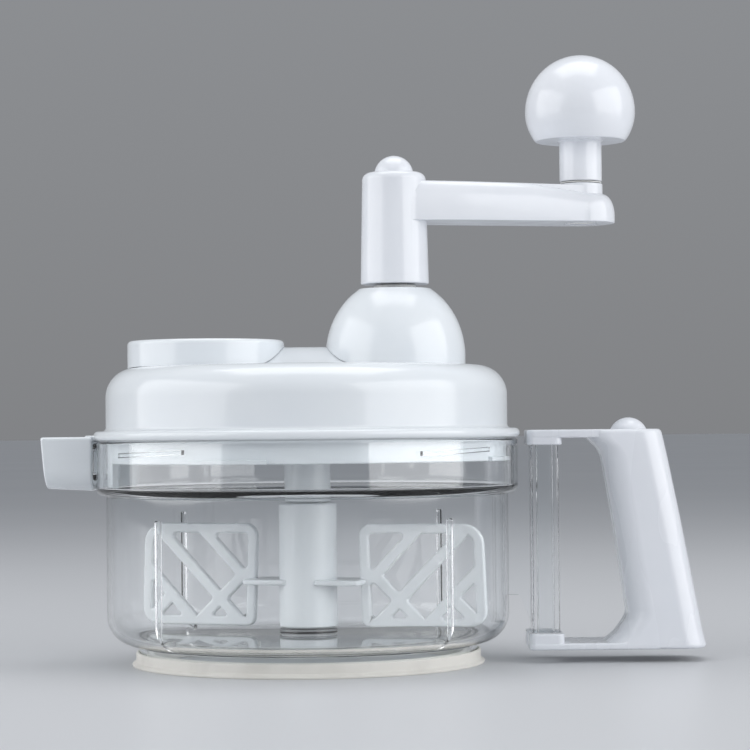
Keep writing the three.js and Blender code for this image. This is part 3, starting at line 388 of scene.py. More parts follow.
class Finish:
    """A node material on a Principled shader, mapped in the piece's own metres."""

    def __init__(self, name, **inputs):
        self.material = bpy.data.materials.new(name)
        self.material.use_nodes = True
        self.tree = self.material.node_tree
        self.tree.nodes.clear()
        self.output = self.node("ShaderNodeOutputMaterial")
        self.shader = self.node("ShaderNodeBsdfPrincipled", **inputs)
        self.place = self.node("ShaderNodeTexCoord").outputs["Object"]
        self.join(self.shader.outputs[0], self.output.inputs["Surface"])

    def node(self, kind, **inputs):
        made = self.tree.nodes.new(kind)
        for name, value in inputs.items():
            made.inputs[name.replace("_", " ")].default_value = value
        return made

    def join(self, source, target):
        self.tree.links.new(source, target)

    def noise(self, scale, detail=2.0, stretch=None, shift=0.0):
        mapping = self.node("ShaderNodeMapping")
        mapping.inputs["Scale"].default_value = stretch or (1, 1, 1)
        mapping.inputs["Location"].default_value = (shift, shift, shift)
        made = self.node("ShaderNodeTexNoise", Scale=scale, Detail=detail)
        self.join(self.place, mapping.inputs["Vector"])
        self.join(mapping.outputs[0], made.inputs["Vector"])
        return made.outputs[0]

    def spread(self, source, low, high, name):
        """Drives one of the shader's numbers from low to high by a noise."""
        made = self.node("ShaderNodeMapRange", From_Min=0.25, From_Max=0.75, To_Min=low, To_Max=high)
        made.interpolation_type = "SMOOTHSTEP"
        self.join(source, made.inputs["Value"])
        self.join(made.outputs["Result"], self.shader.inputs[name])

    def tints(self, source, *colours):
        ramp = self.tree.nodes.new("ShaderNodeValToRGB")
        stops = ramp.color_ramp.elements
        for i, colour in enumerate(colours):
            place = 0.32 + 0.36 * i / (len(colours) - 1)
            stop = stops[i] if i < 2 else stops.new(place)
            stop.position = place
            stop.color = (*colour, 1)
        self.join(source, ramp.inputs["Fac"])
        self.join(ramp.outputs["Color"], self.shader.inputs["Base Color"])

    def bumps(self, *layers):
        """Stacks bump nodes, each (source, height in millimetres, strength)."""
        last = None
        for source, height, strength in layers:
            made = self.node("ShaderNodeBump", Strength=strength, Distance=height / 1000)
            self.join(source, made.inputs["Height"])
            if last:
                self.join(last, made.inputs["Normal"])
            last = made.outputs["Normal"]
        self.join(last, self.shader.inputs["Normal"])


def moulded_plastic(name, tint, shift=0.0, gloss=0.2):
    """Glossy injection-moulded plastic: faint cloudiness and flow lines, a soft orange peel."""
    finish = Finish(name, Coat_Weight=0.35, Coat_Roughness=0.06, IOR=1.5)
    cloud = finish.noise(42, 3, shift=shift)
    flow = finish.noise(30, 1, stretch=(3, 3, 0.7), shift=shift + 3)
    darker = tuple(c * f for c, f in zip(tint, (0.965, 0.97, 0.978)))
    finish.tints(cloud, darker, tint)
    finish.spread(flow, gloss - 0.02, gloss + 0.04, "Roughness")
    finish.bumps((finish.noise(60, 1, shift=shift), 0.04, 0.08), (finish.noise(1500, 1), 0.006, 0.1))
    return finish.material


def clear_plastic():
    """Clear polished plastic that lets the lamps through to what stands behind it."""
    finish = Finish(
        "clear_plastic_moulded", Base_Color=(0.975, 0.985, 0.99, 1), Transmission_Weight=1.0, IOR=1.5,
        Roughness=0.02,
    )
    finish.spread(finish.noise(55, 3), 0.008, 0.035, "Roughness")
    finish.bumps((finish.noise(26, 1), 0.02, 0.03), (finish.noise(420, 2), 0.004, 0.03))
    path = finish.tree.nodes.new("ShaderNodeLightPath")
    open_side = finish.node("ShaderNodeBsdfTransparent", Color=(0.93, 0.95, 0.955, 1))
    mix = finish.tree.nodes.new("ShaderNodeMixShader")
    finish.join(path.outputs["Is Shadow Ray"], mix.inputs["Fac"])
    finish.join(finish.shader.outputs[0], mix.inputs[1])
    finish.join(open_side.outputs[0], mix.inputs[2])
    finish.join(mix.outputs[0], finish.output.inputs["Surface"])
    return finish.material


def satin(name, light, dark, roughness, grain):
    """Rubber, nylon or acetal: a matt skin with a fine grain and a little dust in it."""
    finish = Finish(name, IOR=1.46)
    finish.tints(finish.noise(70, 4), dark, light, light)
    finish.spread(finish.noise(300, 3), roughness - 0.06, roughness + 0.08, "Roughness")
    finish.bumps((finish.noise(2200, 2), grain, 0.35))
    return finish.material


def bright_steel():
    finish = Finish("bright_steel", Metallic=1.0)
    brushed = finish.noise(900, 3, stretch=(1, 1, 8))
    finish.tints(brushed, (0.5, 0.51, 0.53), (0.62, 0.63, 0.65))
    finish.spread(brushed, 0.2, 0.36, "Roughness")
    finish.bumps((brushed, 0.01, 0.25))
    return finish.material


LID_WHITE = moulded_plastic("white_lid_plastic", (0.80, 0.835, 0.865), 0.0, 0.2)
CAP_WHITE = moulded_plastic("white_cap_plastic", (0.815, 0.85, 0.88), 1.7, 0.22)
CRANK_WHITE = moulded_plastic("white_crank_plastic", (0.825, 0.845, 0.885), 4.1, 0.22)
HANDLE_WHITE = moulded_plastic("white_handle_plastic", (0.80, 0.82, 0.865), 6.3, 0.26)
PADDLE_WHITE = moulded_plastic("white_paddle_plastic", (0.80, 0.82, 0.84), 8.8, 0.3)
CLEAR = clear_plastic()
RUBBER = satin("soft_ring_rubber", (0.74, 0.72, 0.68), (0.68, 0.66, 0.62), 0.5, 0.03)
NYLON = satin("natural_nylon", (0.76, 0.73, 0.64), (0.71, 0.68, 0.59), 0.42, 0.012)
ACETAL = satin("white_acetal", (0.84, 0.84, 0.82), (0.8, 0.8, 0.78), 0.32, 0.008)
STEEL = bright_steel()


def show(obj, node, material):
    """Puts a finished piece in the frame in place of its CAD node."""
    obj.name = f"{node}_detail"
    obj.data.name = obj.name
    turned_by(obj, TO_FRAME)
    obj.data.materials.clear()
    obj.data.materials.append(material)
    obj.data.shade_smooth()
    obj.data.set_sharp_from_angle(angle=math.radians(32))
    smooth = obj.modifiers.new("shading", "WEIGHTED_NORMAL")
    smooth.keep_sharp = True
    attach(obj, BODY_OF[node])
    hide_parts(node)


# ---------------------------------------------------------------- bowl and base ring


def bowl_shell():
    return revolve(rounded([
        (0, FLOOR_Z),
        (FOOT_INNER, FLOOR_Z, 0.5),
        (FOOT_INNER, FOOT_Z, 0.5),
        (FOOT_OUTER, FOOT_Z, 0.5),
        (FOOT_OUTER, FLOOR_Z, 0.8),
        (BOWL_R, FLOOR_Z, 10.7),
        (BOWL_R, STEP_Z, 0.8),
        (COLLAR_R, STEP_Z, 2.6),
        (COLLAR_R, RIM_Z, 0.9),
        (COLLAR_INNER_R, RIM_Z, 0.7),
        (COLLAR_INNER_R, LEDGE_Z, 0.8),
        (BOWL_INNER_R, LEDGE_Z, 1.0),
        (BOWL_INNER_R, FLOOR_TOP, 8.5),
        (0, FLOOR_TOP),
    ], closed=False, step=9), steps=192)


def bowl_rib(degrees):
    """A fin up the bowl's wall with a toe along its floor."""
    wall = BOWL_INNER_R + BITE
    outline = rounded([
        (66, 9.5), (67, 9.3), (71.5, 11), (wall, 17), (wall, RIB_TOP), (RIB_INNER_R, RIB_TOP, 0.9),
        (RIB_INNER_R, 12.6, 1.2), (66, 12.6, 1.5),
    ])
    return turned_by(fin(outline, RIB_HALF, 0.35), Matrix.Rotation(math.radians(degrees), 4, "Z"))


def bowl_post():
    """The hollow post inside the handle and the web that carries it."""
    wall, collar, under = BOWL_INNER_R + BITE, COLLAR_INNER_R + BITE, STEP_Z - BITE
    web = rounded([
        (wall, 25), (80.2, 25, 1.5), (WEB_FOOT_X, 11.2), (WEB_FOOT_X, WEB_TOP), (collar, WEB_TOP),
        (collar, under), (wall, under),
    ])
    post = cut(
        block(POST_X0, POST_X1, POST_HALF, POST_Z0, POST_Z1, 1.4, 0.5),
        block(
            POST_X0 + POST_WALL, POST_X1 - POST_WALL, POST_HALF - POST_WALL,
            POST_Z0 - 1, POST_Z1 - POST_WALL, 0.8, 0.3,
        ),
    )
    return post, fin(web, WEB_HALF)


def make_bowl():
    boss = revolve(rounded([
        (0, 9), (11, 9), (11, 13.5, 1.2), (3, 13.5, 0.6), (3, 23, 1.2), (0, 23),
    ], closed=False), steps=64)
    half, low, high = WINDOW_FRAME
    window_frame = cut(
        beam(box_outline(-half, half, low, high, 2.2), WINDOW_X, -BOWL_INNER_R, 0.6),
        rod(COLLAR_INNER_R + BITE, 60, 90, steps=192),
    )
    ribs = [bowl_rib(angle) for angle in RIB_ANGLES]
    lugs = [
        sector(
            LUG_INNER_R, COLLAR_INNER_R + BITE, LUG_Z0, LUG_Z1,
            angle - LUG_HALF_ANGLE, angle + LUG_HALF_ANGLE, rise=LUG_RISE,
        )
        for angle in LUG_ANGLES
    ]
    body = join(bowl_shell(), boss, window_frame, *bowl_post(), *ribs, *lugs)
    half, low, high = WINDOW
    return cut(body, beam(box_outline(-half, half, low, high, 1.4), -90, -73))


def make_base_ring():
    """A soft ring with a lip at the table and a groove for the bowl's foot."""
    return revolve(rounded([
        (58.5, 0, 0.5), (66.7, 0, 0.35), (66.7, 0.9, 0.4), (65.3, 1.8, 0.5), (65.3, 5.3, 0.7),
        (64.4, 5.3, 0.2), (64.4, 2.5, 0.2), (61.1, 2.5, 0.2), (61.1, 5.3, 0.2), (58.5, 5.3, 0.5),
    ]), steps=160)


# ---------------------------------------------------------------- release buttons and springs


def button_pocket(x, z):
    """The room for a button whose dome starts at z: a bore for its skirt and one for its stem."""
    return join(rod(BUTTON_R + GAP, z - 14, z + BUTTON_R, x), rod(STEM_BORE_R, z - 19.8, z - 13, x))


def make_button(x, z):
    """A domed cap over a stem that ends in a barb."""
    stem, barb, skirt = STEM_R, 3.7, z - 7
    return revolve([
        (0, z - 21.8), (2.6, z - 21.8), (stem, z - 21.5),
        (barb, z - 20.4), (barb, z - 19.4), (stem, z - 19.4),
        *rounded([
            (stem, z - 12), (stem, skirt, 0.8), (BUTTON_R, skirt, 0.6), (BUTTON_R, z),
        ], closed=False)[1:],
        *arc(0, z, BUTTON_R, 6, 90, 16),
    ], x, steps=64)


def make_spring(x, z):
    """A coil between the pocket's floor and the button's skirt."""
    low, high, radius, wire = z - 13.1, z - 7.9, 5.2, 0.6
    turns, steps = 3, 24
    rings = []
    for i in range(steps * turns + 1):
        angle = 2 * math.pi * i / steps
        out = Vector((math.cos(angle), math.sin(angle), 0))
        centre = Vector((x, 0, low + (high - low) * i / (steps * turns))) + out * radius
        rings.append([tuple(centre + out * u + Vector((0, 0, v))) for u, v in circle(0, 0, wire, 10)])
    return loft(rings)


# ---------------------------------------------------------------- handle


def grip_at(z, reach=2.0, steps=8):
    """The grip's inner side, outer side and half width at a height, its corners eased over the reach."""
    sums = [0, 0, 0]
    for i in range(steps + 1):
        here = min(max(z + reach * (2 * i / steps - 1), GRIP[0][0]), GRIP[-1][0])
        k = max(j for j in range(len(GRIP) - 1) if GRIP[j][0] <= here)
        low, high = GRIP[k], GRIP[k + 1]
        t = (here - low[0]) / (high[0] - low[0])
        sums = [total + a + t * (b - a) for total, a, b in zip(sums, low[1:], high[1:])]
    return [total / (steps + 1) for total in sums]


def grip_ring(z, shrink=0.0, wall=0.0, lean=(0, 0), corner=9):
    """The grip's rounded outline at a height, drawn in by a wall and leaned at either side."""
    x0, x1, half = grip_at(z)
    inwards = shrink + wall
    left, right = x0 + lean[0] + inwards, x1 - lean[1] - inwards
    depth = half - inwards
    corners = [(left, -depth), (right, -depth), (right, depth), (left, depth)]
    return at_height(rounded([(*place, corner - inwards) for place in corners], step=7.5), z)


def make_grip():
    low, high, edge, reach = GRIP[0][0], GRIP[-1][0], 1.4, 0.2
    turns = [math.pi / 2 * i / 4 for i in range(5)]
    near_stations = [station[0] + offset for station in GRIP for offset in (-2, -1.2, -0.4, 0.4, 1.2, 2)]
    heights = sorted(z for z in near_stations if low + edge + reach < z < high - edge - reach)
    rings = [grip_ring(low + edge * (1 - math.cos(turn)), edge * (1 - math.sin(turn))) for turn in turns]
    rings += [grip_ring(z) for z in heights]
    for turn in turns:
        rings.append(grip_ring(high - edge * (1 - math.sin(turn)), edge * (1 - math.cos(turn))))
    return loft(rings)


def grip_cavity():
    """The hollow inside the grip, open below and narrower where the button's pocket comes down."""
    leans = ((3.9, (4, 0)), (7.4, (4, 0)), (12, (0, 0)), (20, (0, 0)), (52, (0, 0)), (65.4, (0, 2)))
    return loft([grip_ring(z, wall=GRIP_WALL, lean=lean) for z, lean in leans])


def make_handle():
    x0, x1 = SLEEVE_X0, SLEEVE_X1
    body = join(
        make_grip(),
        block(x0, BAR_X1, BAR_HALF, BAR_Z0, HANDLE_TOP, 3, 0.7),
        block(x0, x1, COLLAR_CAP_HALF, COLLAR_CAP_Z0, HANDLE_TOP - BITE, 2.6, 0.5),
        block(x0, PLATE_X1, PLATE_HALF, PLATE_Z0, PLATE_Z1, 2.6, 0.8),
        block(x0, x1, CUP_HALF, CUP_Z0, CUP_TOP, 2.6, 0.6),
        solver="EXACT",
    )
    post_x0, post_x1, post_half = POST_X0 - GAP, POST_X1 + GAP, POST_HALF + GAP
    below, above = PLATE_Z0 - 0.9, CUP_TOP + 1
    return cut(
        body,
        block(post_x0, post_x1, post_half, COLLAR_CAP_Z0 - 1.8, COLLAR_CAP_CEILING, 1.5, 0.2),
        block(post_x0, post_x1, post_half, below, above, 1.5, 0.2),
        block(x0 - 2, POST_X0, WEB_HALF + 0.5, below, above, 0.3, 0),
        button_pocket(HANDLE_BUTTON.x, HANDLE_BUTTON.z),
        grip_cavity(),
        solver="EXACT",
    )


# ---------------------------------------------------------------- lid


def lid_top(distance):
    """The height of the lid's top at a distance from the crest: a flat with a soft hump."""
    fall = math.cos(math.pi * min(distance, HUMP_R) / HUMP_R)
    return PLATEAU_Z + (HUMP_TOP - PLATEAU_Z) * (1 + fall) / 2


def from_crest(x, y):
    """How far a place on the lid is from the hump's straight crest."""
    return math.hypot(max(abs(x) - HUMP_HALF, 0), y)


def hump(depth, steps=20):
    """The hump at a depth below the lid's surface: a straight ridge with a turned end at each side."""

    def ring(distance, z):
        ends = arc(HUMP_HALF, 0, distance, 90, -90, 32) + arc(-HUMP_HALF, 0, distance, 270, 90, 32)
        return at_height(ends, z)

    distances = [HUMP_R * (1 - i / steps) for i in range(steps)] + [0.01]
    base = ring(HUMP_R, PLATEAU_Z - depth - LID_WALL / 2)
    return loft([base] + [ring(distance, lid_top(distance) - depth) for distance in distances])


def lid_body():
    inner_radius = SHOULDER_RADIUS - LID_WALL
    edge = rounded([
        (LID_INNER_R, SKIRT_Z + 4), (LID_INNER_R, SKIRT_Z, 0.6), (SKIRT_R, SKIRT_Z, 0.6),
        (SKIRT_R, FLANGE_Z0, 0.3), (FLANGE_R, FLANGE_Z0, 1.75), (FLANGE_R, FLANGE_Z1, 1.75),
        (LID_R, FLANGE_Z1, 1.5), (LID_R, FLANGE_Z1 + 4),
    ], closed=False)
    flat_lid = revolve([
        (0, PLATEAU_Z - LID_WALL),
        *arc(LID_INNER_R - inner_radius, SHOULDER_Z, inner_radius, 90, 0, 12),
        *edge,
        *arc(SHOULDER_R, SHOULDER_Z, SHOULDER_RADIUS, 0, 90, 16),
        (0, PLATEAU_Z),
    ], steps=192)
    return cut(join(flat_lid, hump(0)), hump(LID_WALL))


def below_lid_top():
    """The room up to just above the lid's top, which trims what sits on it."""
    flat = revolve([
        (0, FLANGE_Z1 - 6),
        (SHOULDER_R + SHOULDER_RADIUS, FLANGE_Z1 - 6),
        *arc(SHOULDER_R, SHOULDER_Z + GAP, SHOULDER_RADIUS, 0, 90, 16),
        (0, PLATEAU_Z + GAP),
    ], steps=192)
    return join(flat, hump(-GAP))


COVER_SCREWS = [tuple(middle(f"gear_cover_screw_{i}").xy) for i in (1, 2, 3, 4)]
DOME_SCREWS = [tuple(middle(f"drive_dome_screw_{i}").xy) for i in (1, 2, 3)]


def make_lid():
    bosses = [
        rod(BOSS_R, BOSS_Z0, lid_top(from_crest(x, y)) - LID_WALL / 2, x, y, steps=32)
        for x, y in COVER_SCREWS
    ]
    tabs = [
        sector(SKIRT_R - 1, TAB_R, SKIRT_Z, TAB_TOP, angle + TAB_START, angle + TAB_END)
        for angle in LUG_ANGLES
    ]
    body = join(
        lid_body(),
        rod(CHUTE_OUTER_R, 111, CHUTE_TOP, CHUTE_X, 0, 0.8, 96),
        sector(LID_INNER_R, SKIRT_R, 67.2, SKIRT_Z + BITE, 158, 202, edge=0.7),
        block(STRAP_X0, STRAP_X1, STRAP_HALF, FLANGE_Z0, STRAP_TOP, 1.6, 0.7),
        *tabs,
        *bosses,
    )
    return cut(
        body,
        rod(CHUTE_R, 105, 126, CHUTE_X, 0, 0, 96),
        rod(TUBE_R + GAP, 106, 126, DRIVE_X),
        beam(box_outline(-9.2, 9.2, 70.5, 81, 1.5), -80, -70),
        *[rod(PILOT_R, TRAY_Z0, PILOT_TOP, x, y, steps=16) for x, y in COVER_SCREWS],
        *[rod(PILOT_R, PILOT_TOP, 122, x, y, steps=16) for x, y in DOME_SCREWS],
    )


def spout_outline(depth):
    half, low, high, radius = SPOUT_HALF - depth, SPOUT_Z0 + depth, SPOUT_TOP - depth, 8.5 - depth
    top = 0.5 if depth else 1.2
    return rounded([(-half, high, top), (-half, low, radius), (half, low, radius), (half, high, top)])


def make_spout():
    """A short open tube whose free end leans out towards its top."""
    tube = cut(
        beam(spout_outline(0), SPOUT_X0, SPOUT_X1, 0.9),
        beam(spout_outline(SPOUT_WALL), SPOUT_X0 - 2, SPOUT_X1 + 2),
        block(STRAP_X0 - GAP, -70, STRAP_HALF + GAP, FLANGE_Z0 - GAP, 90, 0.4, 0),
    )
    lean, lift = 0.087, 0.04
    for vertex in tube.data.vertices:
        if vertex.co.x < (SPOUT_X0 + SPOUT_X1) / 2:
            vertex.co.x += lean * (SPOUT_TOP - vertex.co.z)
            vertex.co.z += lift * (SPOUT_TOP - vertex.co.z)
    return tube


def make_cap():
    """A flat cap whose rim reaches down to the lid."""
    inner, under, foot = CAP_R - CAP_WALL, CAP_TOP - CAP_WALL, 100
    outside = rounded([(inner, foot), (CAP_R, foot), (CAP_R, CAP_TOP, 1.6), (0, CAP_TOP)], closed=False)
    inside = rounded([(0, under), (inner, under, 0.8), (inner, foot)], closed=False)
    profile = [(0, CAP_TOP), *reversed(outside[:-1]), *reversed(inside)]
    return cut(revolve(profile, CHUTE_X, steps=144), below_lid_top())


# ---------------------------------------------------------------- drive


def make_drive_dome():
    """A shell with screw bosses and a tube for the bush, its rim cut to the lid's hump."""
    radius, rise = DOME_R - DOME_WALL, DOME_RISE - DOME_WALL
    end = math.degrees(math.asin((DOME_TOP - DOME_BASE) / DOME_RISE))
    shell = revolve([
        (0, 100), (DOME_R, 100),
        *arc(0, DOME_BASE, DOME_R, 0, end - 2, 24, DOME_RISE),
        *rounded([(16, DOME_TOP - 1.6), (13.6, DOME_TOP, 0.9), (0, DOME_TOP)], closed=False)[1:],
    ], DRIVE_X, steps=128)
    hollow = revolve([
        (0, 99), (radius, 99), *arc(0, DOME_BASE, radius, 0, 62, 20, rise), (0, DOME_TOP - DOME_WALL),
    ], DRIVE_X, steps=128)
    bosses = [rod(3.4, 106, 131, x, y, steps=32) for x, y in DOME_SCREWS]
    on_lid = cut(join(cut(shell, hollow), *bosses), below_lid_top())
    return cut(
        join(on_lid, rod(TUBE_R, TUBE_Z0, DOME_TOP - DOME_WALL / 2, DRIVE_X, steps=64)),
        rod(TUBE_BORE_R, TUBE_Z0 - 1, DOME_TOP + 1, DRIVE_X, steps=64),
        *[rod(PILOT_R, 105, 128, x, y, steps=16) for x, y in DOME_SCREWS],
    )


def make_bush():
    return revolve(rounded([
        (5.35, 126, 0.3), (6.8, 126, 0.4), (6.8, 142), (8, 142, 0.2), (8, 143, 0.3), (5.35, 143, 0.3),
    ]), DRIVE_X, steps=64)


def belt(x1, r1, x2, r2):
    """The outline round two circles on the X axis."""
    tangent = math.degrees(math.acos((r1 - r2) / (x2 - x1)))
    return arc(x2, 0, r2, -tangent, tangent, 40) + arc(x1, 0, r1, tangent, 360 - tangent, 28)


def make_gear_cover():
    """A tray under both gears, with a hole for the spindle's bush."""
    return cut(
        join(
            plate(belt(0, 12.3 + TRAY_WALL, DRIVE_X, 26.4 + TRAY_WALL), TRAY_Z0, TRAY_TOP, 0.9),
            *[rod(5.2, TRAY_Z0, TRAY_FLOOR + 0.4, x, y, 0.4, 40) for x, y in COVER_SCREWS],
        ),
        plate(belt(0, 12.3, DRIVE_X, 26.4), TRAY_FLOOR, 112, 0),
        rod(10.9, TRAY_Z0 - 1, TRAY_FLOOR + 1),
        *[rod(PILOT_R, TRAY_Z0 - 1, 99, x, y, steps=16) for x, y in COVER_SCREWS],
    )


def make_spindle_bush():
    return revolve(rounded([
        (9.05, 92.5, 0.3), (10.6, 92.5, 0.4), (10.6, 96.3),
        (12, 96.3, 0.2), (12, 97.4, 0.3), (9.05, 97.4, 0.3),
    ]), steps=64)


def make_spindle():
    """A column with a square end for the paddle below and one for the pinion above."""
    return cut(
        join(
            square_rod(11, 48, 62, corner=0.9, edge=0.8),
            revolve(rounded([(0, 61), (8.75, 61, 0.8), (8.75, 98, 0.4), (0, 98)], closed=False), steps=80),
            square_rod(9, 97, 104.4),
        ),
        rod(PILOT_R, 92.4, 106, steps=16),
    )


def make_screw(node):
    """A pan-head screw with a crossed recess, standing on its head under its boss."""
    low, high = span(node)
    x, y = middle(node).xy
    head, radius, head_top = (high.x - low.x) / 2, 1.5, low.z + 1.5
    body = revolve(rounded([
        (0, low.z), (head, low.z, 1.0), (head, head_top, 0.3), (radius, head_top, 0.1),
        (radius, high.z - 1, 0.3), (0, high.z),
    ], closed=False), x, y, steps=40)
    slots = [
        plate(box_outline(x - a, x + a, y - b, y + b, 0.1), low.z - 1, low.z + 0.9)
        for a, b in ((1.5, 0.32), (0.32, 1.5))
    ]
    return cut(body, *slots)


# ---------------------------------------------------------------- crank and knob


def arm_section(half, top, step, u):
    """Across the arm: flat below, an elliptical shoulder, then a step up to the flat top."""
    shoulder = half - SHOULDER_WIDTH
    right = [
        (half - 0.5, ARM_Z0), (half - 0.15, ARM_Z0 + 0.15), (half, ARM_Z0 + 0.5),
        *arc(shoulder, ARM_SIDE_Z, SHOULDER_WIDTH, 0, 90, 10, top - ARM_SIDE_Z - step),
        (shoulder, top - 0.3 * step / STEP_END), (shoulder - 0.3, top),
    ]
    outline = right + [(-v, z) for v, z in reversed(right)]
    return [(u, v, z) for v, z in outline]


def make_arm():
    """The arm from the hub's axis to the knob's, with a turned end that carries a raised pad."""
    rings = []
    for i in range(25):
        u = CRANK_RADIUS * i / 24
        half = min(ARM_HALF, 11.7 + 0.05 * u)
        top = ARM_Z1 + ARM_RISE * (1 - u / CRANK_RADIUS)
        sunk = min(1, max(0.02, (u - STEP_START) / (CRANK_RADIUS - STEP_START)))
        rings.append(arm_section(half, top, STEP_END * sunk, u))
    pad = HUB_R - SHOULDER_WIDTH
    end = revolve([
        (0, ARM_Z0), (HUB_R - 0.5, ARM_Z0), (HUB_R - 0.15, ARM_Z0 + 0.15), (HUB_R, ARM_Z0 + 0.5),
        *arc(pad, ARM_SIDE_Z, SHOULDER_WIDTH, 0, 90, 10, 8.1),
        *rounded([(pad, 179), (pad, ARM_Z1 + 1, 0.5), (0, ARM_Z1 + 1)], closed=False)[1:],
    ], CRANK_RADIUS, steps=96)
    place = Matrix.Translation((DRIVE_X, 0, 0)) @ Matrix.Rotation(CRANK_ANGLE, 4, "Z")
    return turned_by(join(loft(rings), end), place)


def make_crank():
    hub = revolve(rounded([
        (0, HUB_Z0), (HUB_R, HUB_Z0, 0.6), (HUB_TOP_R, HUB_Z1, 3), (0, HUB_Z1),
    ], closed=False), DRIVE_X, steps=112)
    return cut(
        join(hub, make_arm()),
        square_rod(9.6, HUB_Z0 - 1, 166, DRIVE_X, 0.5, 0),
        button_pocket(CRANK_BUTTON.x, CRANK_BUTTON.z),
        rod(PIN_R, 166, 184, KNOB_X, KNOB_Y),
        rod(PIN_HEAD_R, 166, 169.9, KNOB_X, KNOB_Y),
    )


def make_knob():
    """A ball with a flat underside on a stem, bored for its pin."""
    stem, rim = 8.2, 17.4
    outside = [
        *rounded([
            (0, KNOB_Z0), (stem, KNOB_Z0, 0.5), (stem, KNOB_UNDER, 0.9), (rim, KNOB_UNDER, 0.8),
            *reversed(arc(0, KNOB_MIDDLE, KNOB_R, -3, -32, 12, 19.6)),
        ], closed=False),
        *arc(0, KNOB_MIDDLE, KNOB_R, 0, 90, 30, 22.1),
    ]
    return cut(
        revolve(outside, KNOB_X, KNOB_Y, steps=128),
        rod(3.4, KNOB_Z0 - 1.5, 207, KNOB_X, KNOB_Y),
        rod(6.5, 206, 216, KNOB_X, KNOB_Y),
    )


# ---------------------------------------------------------------- mixing paddle


def sides(bar):
    """A bar's two edges as values of u - v or u + v."""
    at, width = bar
    return at - width / math.sqrt(2), at + width / math.sqrt(2)


def blade_outline(depth=0.0):
    width, height = BLADE_OUTER_R - BLADE_INNER_R, BLADE_Z1 - BLADE_Z0
    corners = ((0, 0, 3.4), (width, 0, 6.9), (width, height, 7.6), (0, height, 5.3))
    return inset(rounded(list(corners)), depth)


def blade_holes():
    """The openings of the lattice, each the frame's inside cut down to one side of every bar."""
    (a0, a1), (b0, b1), (c0, c1) = map(sides, RISING)
    f0, f1 = sides(FALLING)
    s0, s1 = sides(SHORT_FALLING)
    inside = blade_outline(BLADE_FRAME)

    def cell(rising_over=None, rising_under=None, falling_over=None, falling_under=None):
        points = inside
        limits = (
            (rising_over, 1, -1), (rising_under, -1, 1), (falling_over, 1, 1), (falling_under, -1, -1),
        )
        for limit, a, b in limits:
            if limit is not None:
                points = clip(points, a, b, limit * a)
        return soften(points, 0.6 if area(points) < 40 else 1.2)

    return [
        cell(rising_under=a0),
        cell(rising_over=a1, rising_under=b0, falling_over=f1),
        cell(rising_over=b1, rising_under=c0, falling_over=f1),
        cell(rising_under=b0, falling_under=f0),
        cell(rising_over=b1, falling_under=f0),
        cell(rising_over=c1, falling_under=s0),
        cell(rising_over=c1, falling_over=s1),
    ]


def make_blade(degrees):
    """A lattice blade that stands out from the hub, splayed a little along its height."""
    edge = 0.9
    blade = cut(
        plate(blade_outline(), -BLADE_HALF, BLADE_HALF, edge, 5),
        *[plate(hole, -BLADE_HALF, BLADE_HALF, -edge, 5) for hole in blade_holes()],
    )
    middle_z = (BLADE_Z1 - BLADE_Z0) / 2
    splay = Matrix.Identity(4)
    splay[0][1] = -BLADE_SPLAY
    splay[0][3] = BLADE_SPLAY * middle_z
    outwards = Matrix.Translation((BLADE_INNER_R, 0, BLADE_Z0))
    turn = Matrix.Rotation(math.radians(degrees), 4, "Z")
    return turned_by(blade, turn @ outwards @ STAND_ALONG_Y @ splay)


def paddle_arm(degrees):
    arm = block(5, 23.3, 10.4, 29.7, 31.8, 2.0, 0.7)
    return turned_by(arm, Matrix.Rotation(math.radians(degrees), 4, "Z"))


def make_paddle():
    hub = revolve(rounded([
        (0, 13.9), (11, 13.9, 0.6), (11, 60.6, 1.0), (0, 60.6),
    ], closed=False), steps=96)
    body = join(hub, *[paddle_arm(a) for a in BLADE_ANGLES], *[make_blade(a) for a in BLADE_ANGLES])
    return cut(body, rod(3.4, 12, 24), square_rod(11.6, 47, 62, corner=0.8, edge=0))


# ---------------------------------------------------------------- every piece in its place

show(make_bowl(), "bowl", CLEAR)
show(make_base_ring(), "base_ring", RUBBER)
show(make_handle(), "handle", HANDLE_WHITE)
show(make_button(HANDLE_BUTTON.x, HANDLE_BUTTON.z), "handle_release_button", HANDLE_WHITE)
show(make_spring(HANDLE_BUTTON.x, HANDLE_BUTTON.z), "handle_button_spring", STEEL)
show(make_lid(), "lid_shell", LID_WHITE)
show(make_spout(), "pour_spout", LID_WHITE)
show(make_cap(), "chute_cap", CAP_WHITE)
show(make_drive_dome(), "drive_dome", CAP_WHITE)
show(make_bush(), "shaft_bush", ACETAL)
show(make_gear_cover(), "gear_cover", LID_WHITE)
show(make_spindle_bush(), "spindle_bush", ACETAL)
show(make_spindle(), "output_spindle", PADDLE_WHITE)
show(make_crank(), "crank_arm", CRANK_WHITE)
show(make_button(CRANK_BUTTON.x, CRANK_BUTTON.z), "crank_release_button", CRANK_WHITE)
show(make_spring(CRANK_BUTTON.x, CRANK_BUTTON.z), "crank_button_spring", STEEL)
show(make_knob(), "knob", CRANK_WHITE)
show(make_paddle(), "mixing_paddle", PADDLE_WHITE)
for screw in [node for node in frame["nodes"] if "_screw" in node]:
    show(make_screw(screw), screw, STEEL)

for node, material in (
    ("drive_gear", NYLON), ("pinion_gear", NYLON), ("drive_shaft", ACETAL),
    ("knob_pin", ACETAL), ("knob_washer", ACETAL),
):
    frame["nodes"][node].data.materials.clear()
    frame["nodes"][node].data.materials.append(material)

# ---------------------------------------------------------------- floor, light and camera


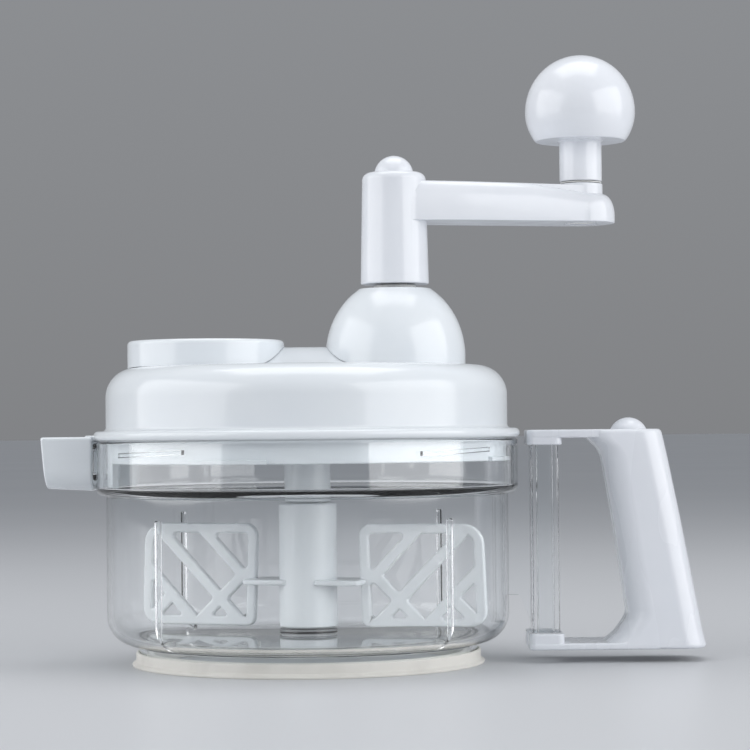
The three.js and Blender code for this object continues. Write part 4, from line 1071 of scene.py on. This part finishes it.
def floor():
    bpy.ops.mesh.primitive_plane_add(size=60, location=(0, 0, 0))
    obj = bpy.context.object
    obj.name = "studio_floor"
    finish = Finish("studio_floor_paint", Roughness=0.4, IOR=1.28)
    finish.tints(finish.noise(1.5, 2), (0.6, 0.61, 0.63), (0.62, 0.63, 0.65))
    finish.spread(finish.noise(2, 1), 0.38, 0.42, "Roughness")
    obj.data.materials.append(finish.material)


def soft_box(name, place, size, power, tint=(1, 1, 1)):
    light = bpy.data.lights.new(name, "AREA")
    light.shape = "RECTANGLE"
    light.size, light.size_y = size
    light.energy = power
    light.color = tint
    obj = bpy.data.objects.new(name, light)
    bpy.context.scene.collection.objects.link(obj)
    obj.location = place
    aim = Vector((0, 0, 0.11)) - Vector(place)
    obj.rotation_euler = aim.to_track_quat("-Z", "Y").to_euler()


def studio():
    """A room that is dim at the horizon and bright overhead, with soft boxes in it."""
    world = bpy.data.worlds.new("studio")
    world.use_nodes = True
    tree = world.node_tree
    background = tree.nodes["Background"]
    direction = tree.nodes.new("ShaderNodeTexCoord").outputs["Generated"]
    split = tree.nodes.new("ShaderNodeSeparateXYZ")
    ramp = tree.nodes.new("ShaderNodeValToRGB")
    stops = ramp.color_ramp.elements
    stops[0].position, stops[0].color = 0.0, (0.45, 0.46, 0.48, 1)
    stops[1].position, stops[1].color = 0.8, (0.8, 0.84, 0.9, 1)
    tree.links.new(direction, split.inputs[0])
    tree.links.new(split.outputs["Z"], ramp.inputs["Fac"])
    tree.links.new(ramp.outputs["Color"], background.inputs["Color"])
    background.inputs["Strength"].default_value = 0.5
    bpy.context.scene.world = world
    soft_box("left_soft_box", (-1.15, -0.3, 0.5), (1.6, 1.0), 9.5)
    soft_box("right_soft_box", (1.06, -0.56, 0.5), (1.5, 1.0), 11)
    soft_box("top_soft_box", (0.0, 0.1, 1.3), (1.1, 0.8), 6)


def camera():
    data = bpy.data.cameras.new("camera")
    data.lens = 120
    data.sensor_width = 36
    data.clip_start, data.clip_end = 0.05, 60
    obj = bpy.data.objects.new("camera", data)
    bpy.context.scene.collection.objects.link(obj)
    pitch, roll = math.radians(91.26), math.radians(-0.55)
    obj.matrix_world = (
        Matrix.Translation((0.00095, -0.952, 0.088))
        @ Matrix.Rotation(pitch, 4, "X") @ Matrix.Rotation(roll, 4, "Z")
    )
    bpy.context.scene.camera = obj


floor()
studio()
camera()

bpy.context.scene.view_settings.view_transform = "Standard"
